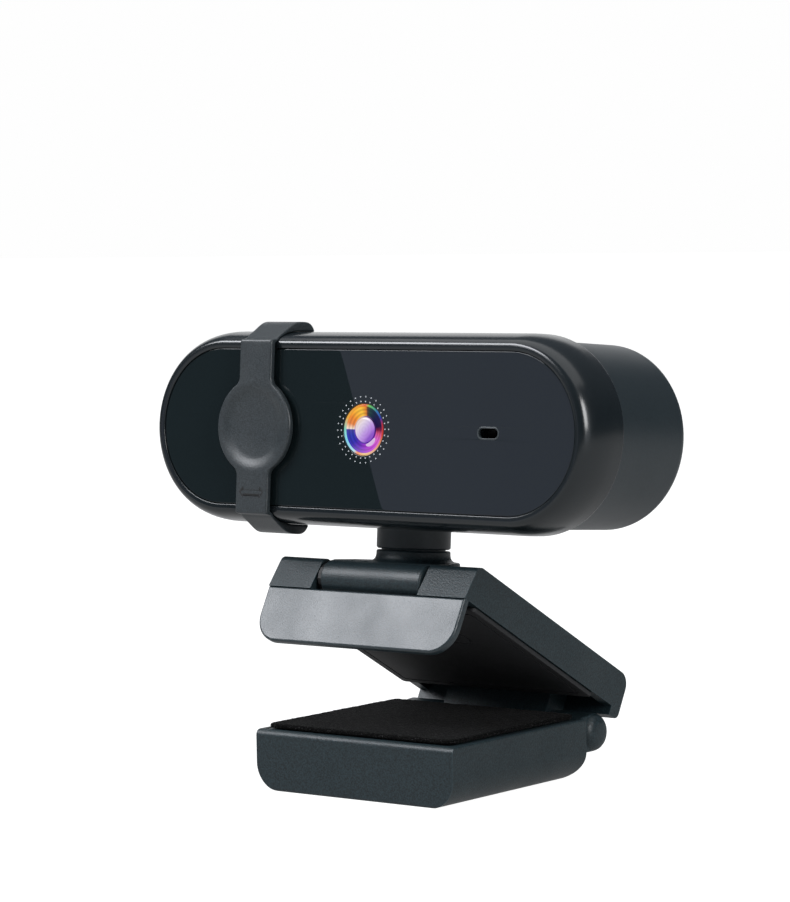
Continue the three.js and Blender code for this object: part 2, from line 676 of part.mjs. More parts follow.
/** Outline of one hook, from the strap's face over the bezel's edge. side is 1 at the top, -1 below. */
function hookShape(side) {
  const face = -coverClear - coverThick;
  const corner = glassHalf + lipWide + runGap;
  const swell = (y) => {
    const along = Math.max(0, y) / hookBack;
    return hookSkin + (hookCrest - hookSkin) * Math.sin(Math.PI * along ** hookLean);
  };
  const inner = overBezel(() => runGap);
  const outer = overBezel((y) => runGap + (y > hookBack - 0.1 ? hookSkin / 2 : swell(y)));
  const shape = new THREE.Shape();
  shape.moveTo(face, side * (glassHalf - 1));
  shape.lineTo(face, side * (corner + 0.3));
  shape.lineTo(face + 0.5, side * (corner + 0.9));
  outer.slice(1).forEach(([y, z]) => shape.lineTo(y, side * z));
  inner.reverse().forEach(([y, z]) => shape.lineTo(y, side * z));
  shape.lineTo(-coverClear, side * corner);
  shape.lineTo(-coverClear, side * (glassHalf - 1));
  return shape;
}

function privacyCover() {
  const front = -coverClear - coverThick;
  const half = coverWidth / 2;
  const x0 = coverX - half;
  const x1 = coverX + half;
  const strap = box(x0, x1, front, -coverClear, -glassHalf, glassHalf);
  const disc = barY(coverDiscR, front, -coverClear, coverX, 0, 40);
  const flare = new THREE.Shape();
  const spread = coverNeckZ - 1.6;
  const wide = Math.sqrt(coverDiscR ** 2 - spread ** 2);
  flare.moveTo(coverX - half, -coverNeckZ - 1.0);
  flare.lineTo(coverX + half, -coverNeckZ - 1.0);
  flare.quadraticCurveTo(coverX + half, -coverNeckZ, coverX + wide, -spread);
  flare.lineTo(coverX + wide, spread);
  flare.quadraticCurveTo(coverX + half, coverNeckZ, coverX + half, coverNeckZ + 1.0);
  flare.lineTo(coverX - half, coverNeckZ + 1.0);
  flare.quadraticCurveTo(coverX - half, coverNeckZ, coverX - wide, spread);
  flare.lineTo(coverX - wide, -spread);
  flare.quadraticCurveTo(coverX - half, -coverNeckZ, coverX - half, -coverNeckZ - 1.0);
  const joinPlate = extrudeY(flare, front, -coverClear, null, 6);
  const ballR = (dishR ** 2 + dishDeep ** 2) / (2 * dishDeep);
  const ball = new THREE.SphereGeometry(ballR, 96, 64);
  ball.translate(coverX, front + dishDeep - ballR, 0);
  const dish = toSolid(ball);
  const hooks = [-1, 1].map((side) => extrudeX(hookShape(side), x0, x1));
  return cut(join(strap, disc, joinPlate, ...hooks), dish);
}

// ---------------------------------------------------------------- assembly

const base = new THREE.Group();
piece(base, 'base_shell', baseShell(), 'clipGrey');
piece(base, 'base_lid', baseLid(), 'clipGrey');
piece(base, 'base_pad', basePad(), 'foamBlack');
piece(base, 'tripod_nut', tripodNut(), 'brass');
piece(base, 'hinge_pin', barX(hingePinR, -hingeOuter + 1.5, hingeOuter - 1.5, hingeY, hingeZ), 'steel');
baseScrews.forEach(([x, y], i) => {
  piece(base, `base_screw_${i + 1}`, screwUp(x, y, 0.4, lidBottom - 0.8), 'steel');
});

const arm = new THREE.Group();
arm.position.set(0, hingeY, hingeZ);
arm.rotation.x = rad(-armOpen);
piece(arm, 'arm_cover', armCover(), 'clipGrey');
piece(arm, 'arm_lining', armLining(), 'innerBlack');
piece(arm, 'arm_pad', armPad(), 'rubberBlack');
piece(arm, 'flap_pad', flapPad(), 'rubberBlack');
piece(arm, 'tilt_pin', barX(tiltPinR, -armHalf + 1.7, armHalf - 1.7, -tiltReach, tiltRise), 'steel');
armScrews.forEach(([x, y], i) => {
  const low = liningBottom + liningSink - gap - screwHeadH;
  piece(arm, `arm_screw_${i + 1}`, screwUp(x, y, low, armTop - 1.4), 'steel');
});
base.add(arm);

const tilt = new THREE.Group();
tilt.position.set(0, -tiltReach, tiltRise);
tilt.rotation.x = rad(armOpen + tiltRest);
piece(tilt, 'knuckle', knuckle(), 'clipGrey');
piece(tilt, 'tilt_washer', tiltWasher(), 'steel');
piece(tilt, 'pan_washer', panWasher(), 'steel');
piece(tilt, 'pan_screw', panScrew(), 'steel');
arm.add(tilt);

const pan = new THREE.Group();
pan.position.set(neckX, neckBack, 0);
pan.rotation.z = rad(panRest);
tilt.add(pan);

const head = new THREE.Group();
head.position.set(headSide - neckX, -neckBack - headForward, headUp);
piece(head, 'front_bezel', frontBezel(), 'headGloss');
piece(head, 'front_glass', frontGlass(), 'glassBlack');
piece(head, 'rear_housing', rearHousing(), 'headSatin');
piece(head, 'lens_front_element', lensElement(lensR - 0.2, 1.1, 0.9, lensDome), 'lensGlass');
piece(head, 'aperture_ring', apertureRing(), 'innerBlack');
piece(head, 'lens_barrel', lensBarrel(), 'innerBlack');
piece(head, 'lens_rear_element', lensElement(3.1, 8.8, 1.2, 0.6), 'lensGlass');
piece(head, 'lens_holder', lensHolder(), 'chipBlack');
piece(head, 'ir_filter', box(lensX - 4, lensX + 4, 14.3, 14.9, -4, 4), 'lensGlass');
piece(head, 'image_sensor', box(lensX - 3.4, lensX + 3.4, 15.5, boardY - gap, -3.2, 3.2), 'chipBlack');
piece(head, 'main_board', mainBoard(), 'boardGreen');
const boardBack = boardY + boardThick + gap;
piece(head, 'controller_chip', box(-5, 5, boardBack, boardBack + 1.1, -3.5, 6.5), 'chipBlack');
piece(head, 'cable_connector', box(9, 18, boardBack, boardBack + 4.2, -9.5, -5.0), 'connectorWhite');
piece(head, 'flash_memory', box(-16, -11, boardBack, boardBack + 1.0, -3, 1.5), 'chipBlack');
boardScrews.forEach(([x, z], i) => {
  const face = boardY - gap - screwHeadH;
  piece(head, `board_screw_${i + 1}`, screwY(x, z, face, boardBack + 4.4), 'steel');
});
piece(head, 'microphone', barY(micR, webBack + 1.4 + gap, webBack + 3.6, micX, 0), 'steel');
piece(head, 'mic_boot', micBoot(), 'rubberBlack');
caseScrews.forEach(([x, z], i) => {
  piece(head, `case_screw_${i + 1}`, screwY(x, z, caseScrewSeat + gap + screwHeadH, webBack + 1), 'steel');
});
piece(head, 'cable_gland', cableGland(), 'rubberBlack');
piece(head, 'privacy_cover', privacyCover(), 'coverGrey');
pan.add(head);

const webcam = new THREE.Group();
webcam.add(base);
webcam.updateMatrixWorld(true);
const bounds = new THREE.Box3().setFromObject(webcam, true);
const middle = bounds.getCenter(new THREE.Vector3());
base.position.set(-middle.x, -middle.y, -bounds.min.z);
webcam.updateMatrixWorld(true);

export default webcam;
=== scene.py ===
import json
import logging
import math
from dataclasses import dataclass
from enum import Enum
from typing import Any, ClassVar, Sequence

import bmesh
import bpy
from mathutils import Matrix, Vector, noise


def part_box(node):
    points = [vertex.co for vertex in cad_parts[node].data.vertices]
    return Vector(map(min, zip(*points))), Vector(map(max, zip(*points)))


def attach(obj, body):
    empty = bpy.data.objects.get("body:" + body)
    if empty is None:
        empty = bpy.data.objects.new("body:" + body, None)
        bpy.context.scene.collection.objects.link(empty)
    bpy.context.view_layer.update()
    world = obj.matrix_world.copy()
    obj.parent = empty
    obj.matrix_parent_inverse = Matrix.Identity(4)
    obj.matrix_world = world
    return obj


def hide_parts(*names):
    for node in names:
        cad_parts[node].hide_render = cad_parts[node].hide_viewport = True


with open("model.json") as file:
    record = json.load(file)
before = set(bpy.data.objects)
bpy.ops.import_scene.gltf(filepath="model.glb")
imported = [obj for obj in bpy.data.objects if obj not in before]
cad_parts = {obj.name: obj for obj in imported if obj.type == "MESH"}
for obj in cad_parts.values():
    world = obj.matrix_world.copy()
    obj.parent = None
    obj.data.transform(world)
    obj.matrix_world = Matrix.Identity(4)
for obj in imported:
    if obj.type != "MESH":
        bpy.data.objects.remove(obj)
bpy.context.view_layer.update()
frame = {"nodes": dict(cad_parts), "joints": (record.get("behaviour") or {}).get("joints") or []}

log = logging.getLogger("webcam")

MM = 0.001
FULL_TURN = 2 * math.pi
QUARTER = math.pi / 2

Point = tuple[float, float]
Outline = list[Point]
Ring = list[Vector]
Colour = tuple[float, float, float, float]
Thing = bpy.types.Object
Tree = bpy.types.NodeTree
Node = bpy.types.Node
Socket = bpy.types.NodeSocket


# ------------------------------------------------------------------ node and colour helpers


def srgb(code: str, gain: float = 1.0) -> Colour:
    """Turns an sRGB hex colour into the linear RGBA that shaders use.

    Args:
        code: six hex digits with a leading hash.
        gain: what its linear values are multiplied by.

    Returns:
        Linear red, green, blue and an alpha of one.
    """
    parts = [int(code[i:i + 2], 16) / 255 for i in (1, 3, 5)]
    linear = [c / 12.92 if c <= 0.04045 else ((c + 0.055) / 1.055) ** 2.4 for c in parts]
    red, green, blue = (min(gain * c, 1.0) for c in linear)
    return (red, green, blue, 1.0)


def per_metre(size_mm: float) -> float:
    """Turns a feature size in millimetres into a texture scale.

    Args:
        size_mm: the real distance from one feature of the pattern to the next.

    Returns:
        The scale for a texture that is fed positions in metres.
    """
    return 1.0 / (size_mm * MM)


def add(tree: Tree, kind: str, inputs: dict[Any, Any] | None = None,
        stops: Sequence[tuple[float, Colour]] = (), **settings: Any) -> Node:
    """Adds a node, sets its properties and fills its inputs.

    Args:
        tree: the node tree to add to.
        kind: the node's type name.
        inputs: socket names or numbers, each with a value or with a socket to link from.
        stops: positions and colours, in order, where the node has a colour band.
        **settings: properties of the node itself.

    Returns:
        The new node.
    """
    node = tree.nodes.new(kind)
    for name, value in settings.items():
        setattr(node, name, value)
    while stops and len(node.color_ramp.elements) < len(stops):
        node.color_ramp.elements.new(1.0)
    for i, (position, colour) in enumerate(stops):
        node.color_ramp.elements[i].position = position
        node.color_ramp.elements[i].color = colour
    for name, value in (inputs or {}).items():
        if isinstance(value, Socket):
            tree.links.new(value, node.inputs[name])
        else:
            node.inputs[name].default_value = value
    return node


def blank(name: str) -> bpy.types.Material:
    """Makes a material whose node tree is still empty.

    Args:
        name: the material's name.

    Returns:
        The material.
    """
    material = bpy.data.materials.new(name)
    material.use_nodes = True
    material.node_tree.nodes.clear()
    return material


# ------------------------------------------------------------------ outlines


def arc(centre: Point, radius: float, start: float, end: float, steps: int) -> Outline:
    """Points along an arc.

    Args:
        centre: the arc's centre.
        radius: its radius.
        start: first angle in degrees.
        end: last angle in degrees.
        steps: how many chords the arc has.

    Returns:
        The points, with both ends.
    """
    turn = [math.radians(start + (end - start) * i / steps) for i in range(steps + 1)]
    return [(centre[0] + radius * math.cos(a), centre[1] + radius * math.sin(a)) for a in turn]


def circle(centre: Point, radius: float, steps: int = 64) -> Outline:
    """A full round outline."""
    return arc(centre, radius, 0, 360, steps)[:-1]


def stadium(centre: Point, half_long: float, half_high: float, steps: int = 32) -> Outline:
    """A long outline with half-round ends.

    Args:
        centre: its middle.
        half_long: half of its length.
        half_high: half of its height, which is also the ends' radius.
        steps: chords on each end.

    Returns:
        The closed outline's points.
    """
    straight = half_long - half_high
    right = arc((centre[0] + straight, centre[1]), half_high, -90, 90, steps)
    left = arc((centre[0] - straight, centre[1]), half_high, 90, 270, steps)
    return right + left


def rounded_rect(low: Point, high: Point, radii: Sequence[float], steps: int = 10) -> Outline:
    """A rectangle with its own radius at each corner.

    Args:
        low: the corner with the lowest coordinates.
        high: the corner with the highest.
        radii: radius at low-left, low-right, high-right and high-left.
        steps: chords on each rounded corner.

    Returns:
        The closed outline's points.
    """
    corners = ((low[0], low[1], 1, 1, 180), (high[0], low[1], -1, 1, 270),
               (high[0], high[1], -1, -1, 0), (low[0], high[1], 1, -1, 90))
    outline: Outline = []
    for (x, y, sx, sy, start), radius in zip(corners, radii):
        if radius > 0:
            outline += arc((x + sx * radius, y + sy * radius), radius, start, start + 90, steps)
        else:
            outline.append((x, y))
    return outline


# ------------------------------------------------------------------ mesh work


class Axis(Enum):
    """The local axis that a flat outline is thickened along, as the frame from outline to piece."""

    X = Matrix(((0, 0, 1, 0), (1, 0, 0, 0), (0, 1, 0, 0), (0, 0, 0, 1)))
    Y = Matrix(((1, 0, 0, 0), (0, 0, -1, 0), (0, 1, 0, 0), (0, 0, 0, 1)))
    Z = Matrix.Identity(4)


class Carve(Enum):
    """How tools act on a piece."""

    JOIN = "UNION"
    CUT = "DIFFERENCE"
    KEEP = "INTERSECT"


def new_object(name: str, mesh: bpy.types.Mesh) -> Thing:
    """Puts a mesh into the scene as an object.

    Args:
        name: the object's name.
        mesh: its mesh.

    Returns:
        The object.
    """
    thing = bpy.data.objects.new(name, mesh)
    bpy.context.scene.collection.objects.link(thing)
    return thing


def tidy(mesh: bpy.types.Mesh, merge: float = 0.002) -> None:
    """Merges doubled vertices and turns every face outwards.

    Args:
        mesh: the mesh to clean in place.
        merge: how close two vertices are, in millimetres, to be one.
    """
    work = bmesh.new()
    work.from_mesh(mesh)
    bmesh.ops.remove_doubles(work, verts=work.verts, dist=merge * MM)
    bmesh.ops.recalc_face_normals(work, faces=work.faces)
    work.to_mesh(mesh)
    work.free()


def bake(thing: Thing) -> Thing:
    """Turns an object's modifiers into its mesh.

    Args:
        thing: the object.

    Returns:
        The same object, with no modifiers left.
    """
    graph = bpy.context.evaluated_depsgraph_get()
    solid = bpy.data.meshes.new_from_object(thing.evaluated_get(graph))
    thing.modifiers.clear()
    thing.data = solid
    return thing


def loft(name: str, rings: Sequence[Ring], closed: bool = False) -> Thing:
    """Skins a row of rings that all have the same number of points.

    Args:
        name: the object's name.
        rings: rings of points in millimetres.
        closed: whether the last ring joins the first; otherwise both ends are capped.

    Returns:
        The closed skin.
    """
    count = len(rings[0])
    points = [p * MM for ring in rings for p in ring]
    faces: list[list[int]] = []
    for r in range(len(rings) if closed else len(rings) - 1):
        here, there = r * count, ((r + 1) % len(rings)) * count
        faces += [[here + i, here + (i + 1) % count, there + (i + 1) % count, there + i]
                  for i in range(count)]
    if not closed:
        faces += [list(range(count))[::-1], list(range(len(points) - count, len(points)))]
    mesh = bpy.data.meshes.new(name)
    mesh.from_pydata(points, [], faces)
    tidy(mesh)
    return new_object(name, mesh)


def slab(name: str, loops: Sequence[Outline], low: float, high: float, axis: Axis,
         round_edge: float = 0.0, steps: int = 3) -> Thing:
    """Thickens an outline with holes into a solid, with its edges rounded.

    Args:
        name: the object's name.
        loops: the outer outline and any holes, in millimetres.
        low: where the solid starts along the axis.
        high: where it ends.
        axis: the local axis it is thickened along.
        round_edge: radius of its rounded edges.
        steps: how finely they are rounded.

    Returns:
        The solid.
    """
    curve = bpy.data.curves.new(name, "CURVE")
    curve.dimensions = "2D"
    curve.fill_mode = "BOTH"
    for loop in loops:
        spline = curve.splines.new("POLY")
        spline.points.add(len(loop) - 1)
        for point, (u, v) in zip(spline.points, loop):
            point.co = (u * MM, v * MM, 0, 1)
        spline.use_cyclic_u = True
    curve.extrude = ((high - low) / 2 - round_edge) * MM
    curve.bevel_depth = round_edge * MM
    curve.bevel_resolution = steps
    curve.offset = -round_edge * MM
    shape = bpy.data.objects.new(name, curve)
    bpy.context.scene.collection.objects.link(shape)
    graph = bpy.context.evaluated_depsgraph_get()
    mesh = bpy.data.meshes.new_from_object(shape.evaluated_get(graph))
    bpy.data.objects.remove(shape)
    middle = (low + high) / 2 * MM
    along = -middle if axis is Axis.Y else middle
    mesh.transform(axis.value @ Matrix.Translation((0, 0, along)))
    tidy(mesh)
    return new_object(name, mesh)


def turned(name: str, profile: Sequence[Point], axis: Axis, centre: Point = (0, 0),
           steps: int = 48) -> Thing:
    """Turns a profile about a line along an axis.

    Args:
        name: the object's name.
        profile: (radius, distance along the axis) from one end to the other, on the line at both ends
            or closing on itself.
        axis: the local axis.
        centre: where the line crosses the plane of the other two axes, in their order.
        steps: facets round the turn.

    Returns:
        The turned solid.
    """
    flip = -1 if axis is Axis.Y else 1
    rings = []
    for radius, along in profile:
        turns = [FULL_TURN * i / steps for i in range(steps)]
        rings.append([Vector((centre[0] + radius * math.cos(t), centre[1] + radius * math.sin(t),
                              flip * along)) for t in turns])
    ring_shaped = profile[0][0] > 0 and profile[-1][0] > 0 and profile[0] == profile[-1]
    thing = loft(name, rings[:-1] if ring_shaped else rings, closed=ring_shaped)
    thing.data.transform(axis.value)
    tidy(thing.data)
    return thing


def bar(name: str, radius: float, low: float, high: float, axis: Axis, centre: Point = (0, 0),
        round_edge: float = 0.0, steps: int = 48) -> Thing:
    """A round bar with rounded ends.

    Args:
        name: the object's name.
        radius: its radius.
        low: where it starts along the axis.
        high: where it ends.
        axis: the local axis it lies along.
        centre: where its middle line crosses the other two axes.
        round_edge: radius of its end edges.
        steps: facets round it.

    Returns:
        The bar.
    """
    if round_edge > 0:
        inner = radius - round_edge
        foot = arc((inner, low + round_edge), round_edge, -90, 0, 5)
        head = arc((inner, high - round_edge), round_edge, 0, 90, 5)
        profile = [(0.0, low), *foot, *head, (0.0, high)]
    else:
        profile = [(0.0, low), (radius, low), (radius, high), (0.0, high)]
    return turned(name, profile, axis, centre, steps)


def block(name: str, low: Sequence[float], high: Sequence[float]) -> Thing:
    """A sharp box, used as a tool to cut other pieces."""
    outline = rounded_rect((low[0], low[1]), (high[0], high[1]), (0, 0, 0, 0))
    return slab(name, [outline], low[2], high[2], Axis.Z)


def carve(target: Thing, how: Carve, *tools: Thing) -> Thing:
    """Joins, cuts or trims a piece with tools, which are used up.

    Args:
        target: the piece to change.
        how: what the tools do to it.
        *tools: closed solids.

    Returns:
        The changed piece.
    """
    for tool in tools:
        change = target.modifiers.new("carve", "BOOLEAN")
        change.operation = how.value
        change.solver = "EXACT"
        change.object = tool
        bake(target)
        bpy.data.objects.remove(tool)
    tidy(target.data)
    return target


def soften(target: Thing, width: float, angle: float = 35.0, steps: int = 3) -> Thing:
    """Rounds the sharp edges of a piece.

    Args:
        target: the piece.
        width: how wide the rounding is, in millimetres.
        angle: edges that turn by more than this, in degrees, are rounded.
        steps: how finely.

    Returns:
        The same piece.
    """
    rounding = target.modifiers.new("soften", "BEVEL")
    rounding.width = width * MM
    rounding.segments = steps
    rounding.limit_method = "ANGLE"
    rounding.angle_limit = math.radians(angle)
    rounding.use_clamp_overlap = True
    rounding.miter_outer = "MITER_ARC"
    return bake(target)


def shade(target: Thing, angle: float = 32.0) -> None:
    """Shades a piece smooth and keeps its sharp edges crisp.

    Args:
        target: the piece.
        angle: edges that turn by more than this, in degrees, stay crisp.
    """
    mesh = target.data
    mesh.shade_smooth()
    mesh.set_sharp_from_angle(angle=math.radians(angle))
    weigh = target.modifiers.new("weigh", "WEIGHTED_NORMAL")
    weigh.keep_sharp = True
    bake(target)


# ------------------------------------------------------------------ finishes


@dataclass(frozen=True)
class Finish:
    """What every finish has.

    Args:
        name: the material's name.
        colour: its main colour in sRGB hex.
        roughness: how blurred its reflections are, from 0 to 1.
        ior: refractive index, which sets how strongly it reflects.
        metallic: 1 for bare metal, otherwise 0.
    """

    name: str
    colour: str
    roughness: float
    ior: float = 1.5
    metallic: float = 0.0

    def build(self) -> bpy.types.Material:
        """Makes the material once, and gives the same one after that.

        Returns:
            The material.
        """
        found = bpy.data.materials.get(self.name)
        if found:
            return found
        material = blank(self.name)
        tree = material.node_tree
        shader = add(tree, "ShaderNodeBsdfPrincipled", {
            "Base Color": srgb(self.colour), "Roughness": self.roughness,
            "Metallic": self.metallic, "IOR": self.ior})
        add(tree, "ShaderNodeOutputMaterial", {"Surface": shader.outputs["BSDF"]})
        self.dress(tree, shader, add(tree, "ShaderNodeTexCoord").outputs["Object"])
        return material

    def dress(self, tree: Tree, shader: Node, place: Socket) -> None:
        """Adds the finish's own nodes.

        Args:
            tree: the material's node tree.
            shader: its principled shader.
            place: positions on the piece, in metres.
        """
        raise NotImplementedError

    def wander(self, tree: Tree, shader: Node, place: Socket,
               size_mm: float, least: float, most: float) -> None:
        """Lets the roughness wander over the surface, as handling and moulding leave it.

        Args:
            tree: the material's node tree.
            shader: its principled shader.
            place: positions on the piece, in metres.
            size_mm: the size of the duller and shinier patches.
            least: roughness of the shiniest patch.
            most: roughness of the dullest.
        """
        patches = add(tree, "ShaderNodeTexNoise", {
            "Vector": place, "Scale": per_metre(size_mm), "Detail": 3.0})
        level = add(tree, "ShaderNodeMapRange", {
            "Value": patches.outputs["Fac"], "From Min": 0.3, "From Max": 0.7,
            "To Min": least, "To Max": most})
        tree.links.new(level.outputs["Result"], shader.inputs["Roughness"])


@dataclass(frozen=True)
class MouldedPlastic(Finish):
    """Injection-moulded plastic, with the texture that its steel mould was given.

    Args:
        grain_mm: distance from one grain of the texture to the next.
        grain_deep_mm: how deep the grain is.
        fleck: how much single grains differ in brightness.
        drift: how much the roughness wanders over the surface.
        edge_lift: how much lighter the colour is on sharp edges.
    """

    grain_mm: float = 0.3
    grain_deep_mm: float = 0.02
    fleck: float = 0.25
    drift: float = 0.06
    edge_lift: float = 1.5

    def dress(self, tree: Tree, shader: Node, place: Socket) -> None:
        """Adds grain, flecks, wandering roughness and a lighter colour on sharp edges.

        Args:
            tree: the material's node tree.
            shader: its principled shader.
            place: positions on the piece, in metres.
        """
        grain = add(tree, "ShaderNodeTexNoise", {
            "Vector": place, "Scale": per_metre(self.grain_mm), "Detail": 2.0}).outputs["Fac"]
        flecked = add(tree, "ShaderNodeValToRGB", {"Fac": grain}, stops=[
            (0.32, srgb(self.colour, 1 - self.fleck)), (0.5, srgb(self.colour)),
            (0.68, srgb(self.colour, 1 + self.fleck))])
        # The colour is lighter on sharp edges, where the rounded normal leaves the true one.
        soft = add(tree, "ShaderNodeBevel", {"Radius": 0.35 * MM}, samples=4)
        true = add(tree, "ShaderNodeNewGeometry")
        match = add(tree, "ShaderNodeVectorMath", {
            0: soft.outputs["Normal"], 1: true.outputs["Normal"]}, operation="DOT_PRODUCT")
        edge = add(tree, "ShaderNodeMapRange", {
            "Value": match.outputs["Value"], "From Min": 0.985, "From Max": 0.9,
            "To Min": 0.0, "To Max": 0.6})
        edge_lightened = add(tree, "ShaderNodeMix", {
            0: edge.outputs["Result"], 6: flecked.outputs["Color"], 7: srgb(self.colour, self.edge_lift)},
            data_type="RGBA")
        tree.links.new(edge_lightened.outputs[2], shader.inputs["Base Color"])
        self.wander(tree, shader, place, 40 * self.grain_mm, self.roughness - self.drift,
                    self.roughness + self.drift)
        bump = add(tree, "ShaderNodeBump", {"Height": grain, "Distance": self.grain_deep_mm * MM})
        tree.links.new(bump.outputs["Normal"], shader.inputs["Normal"])


@dataclass(frozen=True)
class PolishedPanel(Finish):
    """A clear acrylic window over black ink: mirror smooth, with faint wiping marks."""

    def dress(self, tree: Tree, shader: Node, place: Socket) -> None:
        """Adds wiping marks to the gloss and a trace of unevenness to the ink.

        Args:
            tree: the material's node tree.
            shader: its principled shader.
            place: positions on the piece, in metres.
        """
        stretched = add(tree, "ShaderNodeMapping", {"Vector": place, "Scale": (1.0, 1.0, 4.0)})
        self.wander(tree, shader, stretched.outputs["Vector"], 12.0, self.roughness, self.roughness + 0.012)
        ink = add(tree, "ShaderNodeTexNoise", {"Vector": place, "Scale": per_metre(25.0)})
        shades = add(tree, "ShaderNodeValToRGB", {"Fac": ink.outputs["Fac"]}, stops=[
            (0.3, srgb(self.colour, 0.94)), (0.7, srgb(self.colour, 1.06))])
        tree.links.new(shades.outputs["Color"], shader.inputs["Base Color"])


@dataclass(frozen=True)
class OpenCellFoam(Finish):
    """Black open-cell foam sheet: no gloss at all, small pores and a few light fibres.

    Args:
        pore_mm: distance between pores.
        pore_deep_mm: how deep they look.
    """

    pore_mm: float = 0.42       # real pores are half this, and are drawn coarser so that they show
    pore_deep_mm: float = 0.16

    def dress(self, tree: Tree, shader: Node, place: Socket) -> None:
        """Adds pores, flecks and a dusty sheen.

        Args:
            tree: the material's node tree.
            shader: its principled shader.
            place: positions on the piece, in metres.
        """
        shader.inputs["Sheen Weight"].default_value = 0.02
        shader.inputs["Specular IOR Level"].default_value = 0.03
        pores = add(tree, "ShaderNodeTexVoronoi", {"Vector": place, "Scale": per_metre(self.pore_mm)})
        lint = add(tree, "ShaderNodeTexNoise", {
            "Vector": place, "Scale": per_metre(0.5 * self.pore_mm), "Detail": 3.0})
        shades = add(tree, "ShaderNodeValToRGB", {"Fac": lint.outputs["Fac"]}, stops=[
            (0.35, srgb(self.colour, 0.4)), (0.6, srgb(self.colour)), (0.68, srgb(self.colour, 9.0))])
        tree.links.new(shades.outputs["Color"], shader.inputs["Base Color"])
        bump = add(tree, "ShaderNodeBump", {
            "Height": pores.outputs["Distance"], "Distance": self.pore_deep_mm * MM})
        tree.links.new(bump.outputs["Normal"], shader.inputs["Normal"])


@dataclass(frozen=True)
class TurnedMetal(Finish):
    """Plated steel or brass, with the fine scratches of turning.

    Args:
        scratch_mm: distance between scratches.
    """

    scratch_mm: float = 0.12

    def dress(self, tree: Tree, shader: Node, place: Socket) -> None:
        """Adds scratches that catch the light and dulled patches.

        Args:
            tree: the material's node tree.
            shader: its principled shader.
            place: positions on the piece, in metres.
        """
        drawn = add(tree, "ShaderNodeMapping", {"Vector": place, "Scale": (0.15, 1.0, 1.0)})
        scratch = add(tree, "ShaderNodeTexNoise", {
            "Vector": drawn.outputs["Vector"], "Scale": per_metre(self.scratch_mm),
            "Detail": 4.0}).outputs["Fac"]
        self.wander(tree, shader, place, 3.0, self.roughness - 0.08, self.roughness + 0.12)
        shades = add(tree, "ShaderNodeValToRGB", {"Fac": scratch}, stops=[
            (0.35, srgb(self.colour, 0.8)), (0.65, srgb(self.colour, 1.08))])
        tree.links.new(shades.outputs["Color"], shader.inputs["Base Color"])
        bump = add(tree, "ShaderNodeBump", {"Height": scratch, "Distance": 0.006 * MM})
        tree.links.new(bump.outputs["Normal"], shader.inputs["Normal"])


@dataclass(frozen=True)
class CircuitBoard(Finish):
    """Solder mask over copper: a green film with paler tracks and tinned pads under it.

    Args:
        track_mm: distance between tracks.
    """

    track_mm: float = 1.1

    def dress(self, tree: Tree, shader: Node, place: Socket) -> None:
        """Adds tracks, pads and the film's small dents.

        Args:
            tree: the material's node tree.
            shader: its principled shader.
            place: positions on the piece, in metres.
        """
        tracks = add(tree, "ShaderNodeTexVoronoi", {"Vector": place, "Scale": per_metre(self.track_mm)},
                     distance="MANHATTAN").outputs["Distance"]
        shades = add(tree, "ShaderNodeValToRGB", {"Fac": tracks}, stops=[
            (0.10, srgb("#c9ccc6")), (0.14, srgb(self.colour)), (0.55, srgb(self.colour)),
            (0.6, srgb(self.colour, 1.8)), (0.8, srgb(self.colour, 0.8))])
        tree.links.new(shades.outputs["Color"], shader.inputs["Base Color"])
        bump = add(tree, "ShaderNodeBump", {"Height": tracks, "Distance": 0.03 * MM})
        tree.links.new(bump.outputs["Normal"], shader.inputs["Normal"])


class Sweep(Enum):
    """How the colours of a lens coating run over it."""

    ROUND = "by the angle about the lens's axis"
    ACROSS = "in a straight line over the lens"


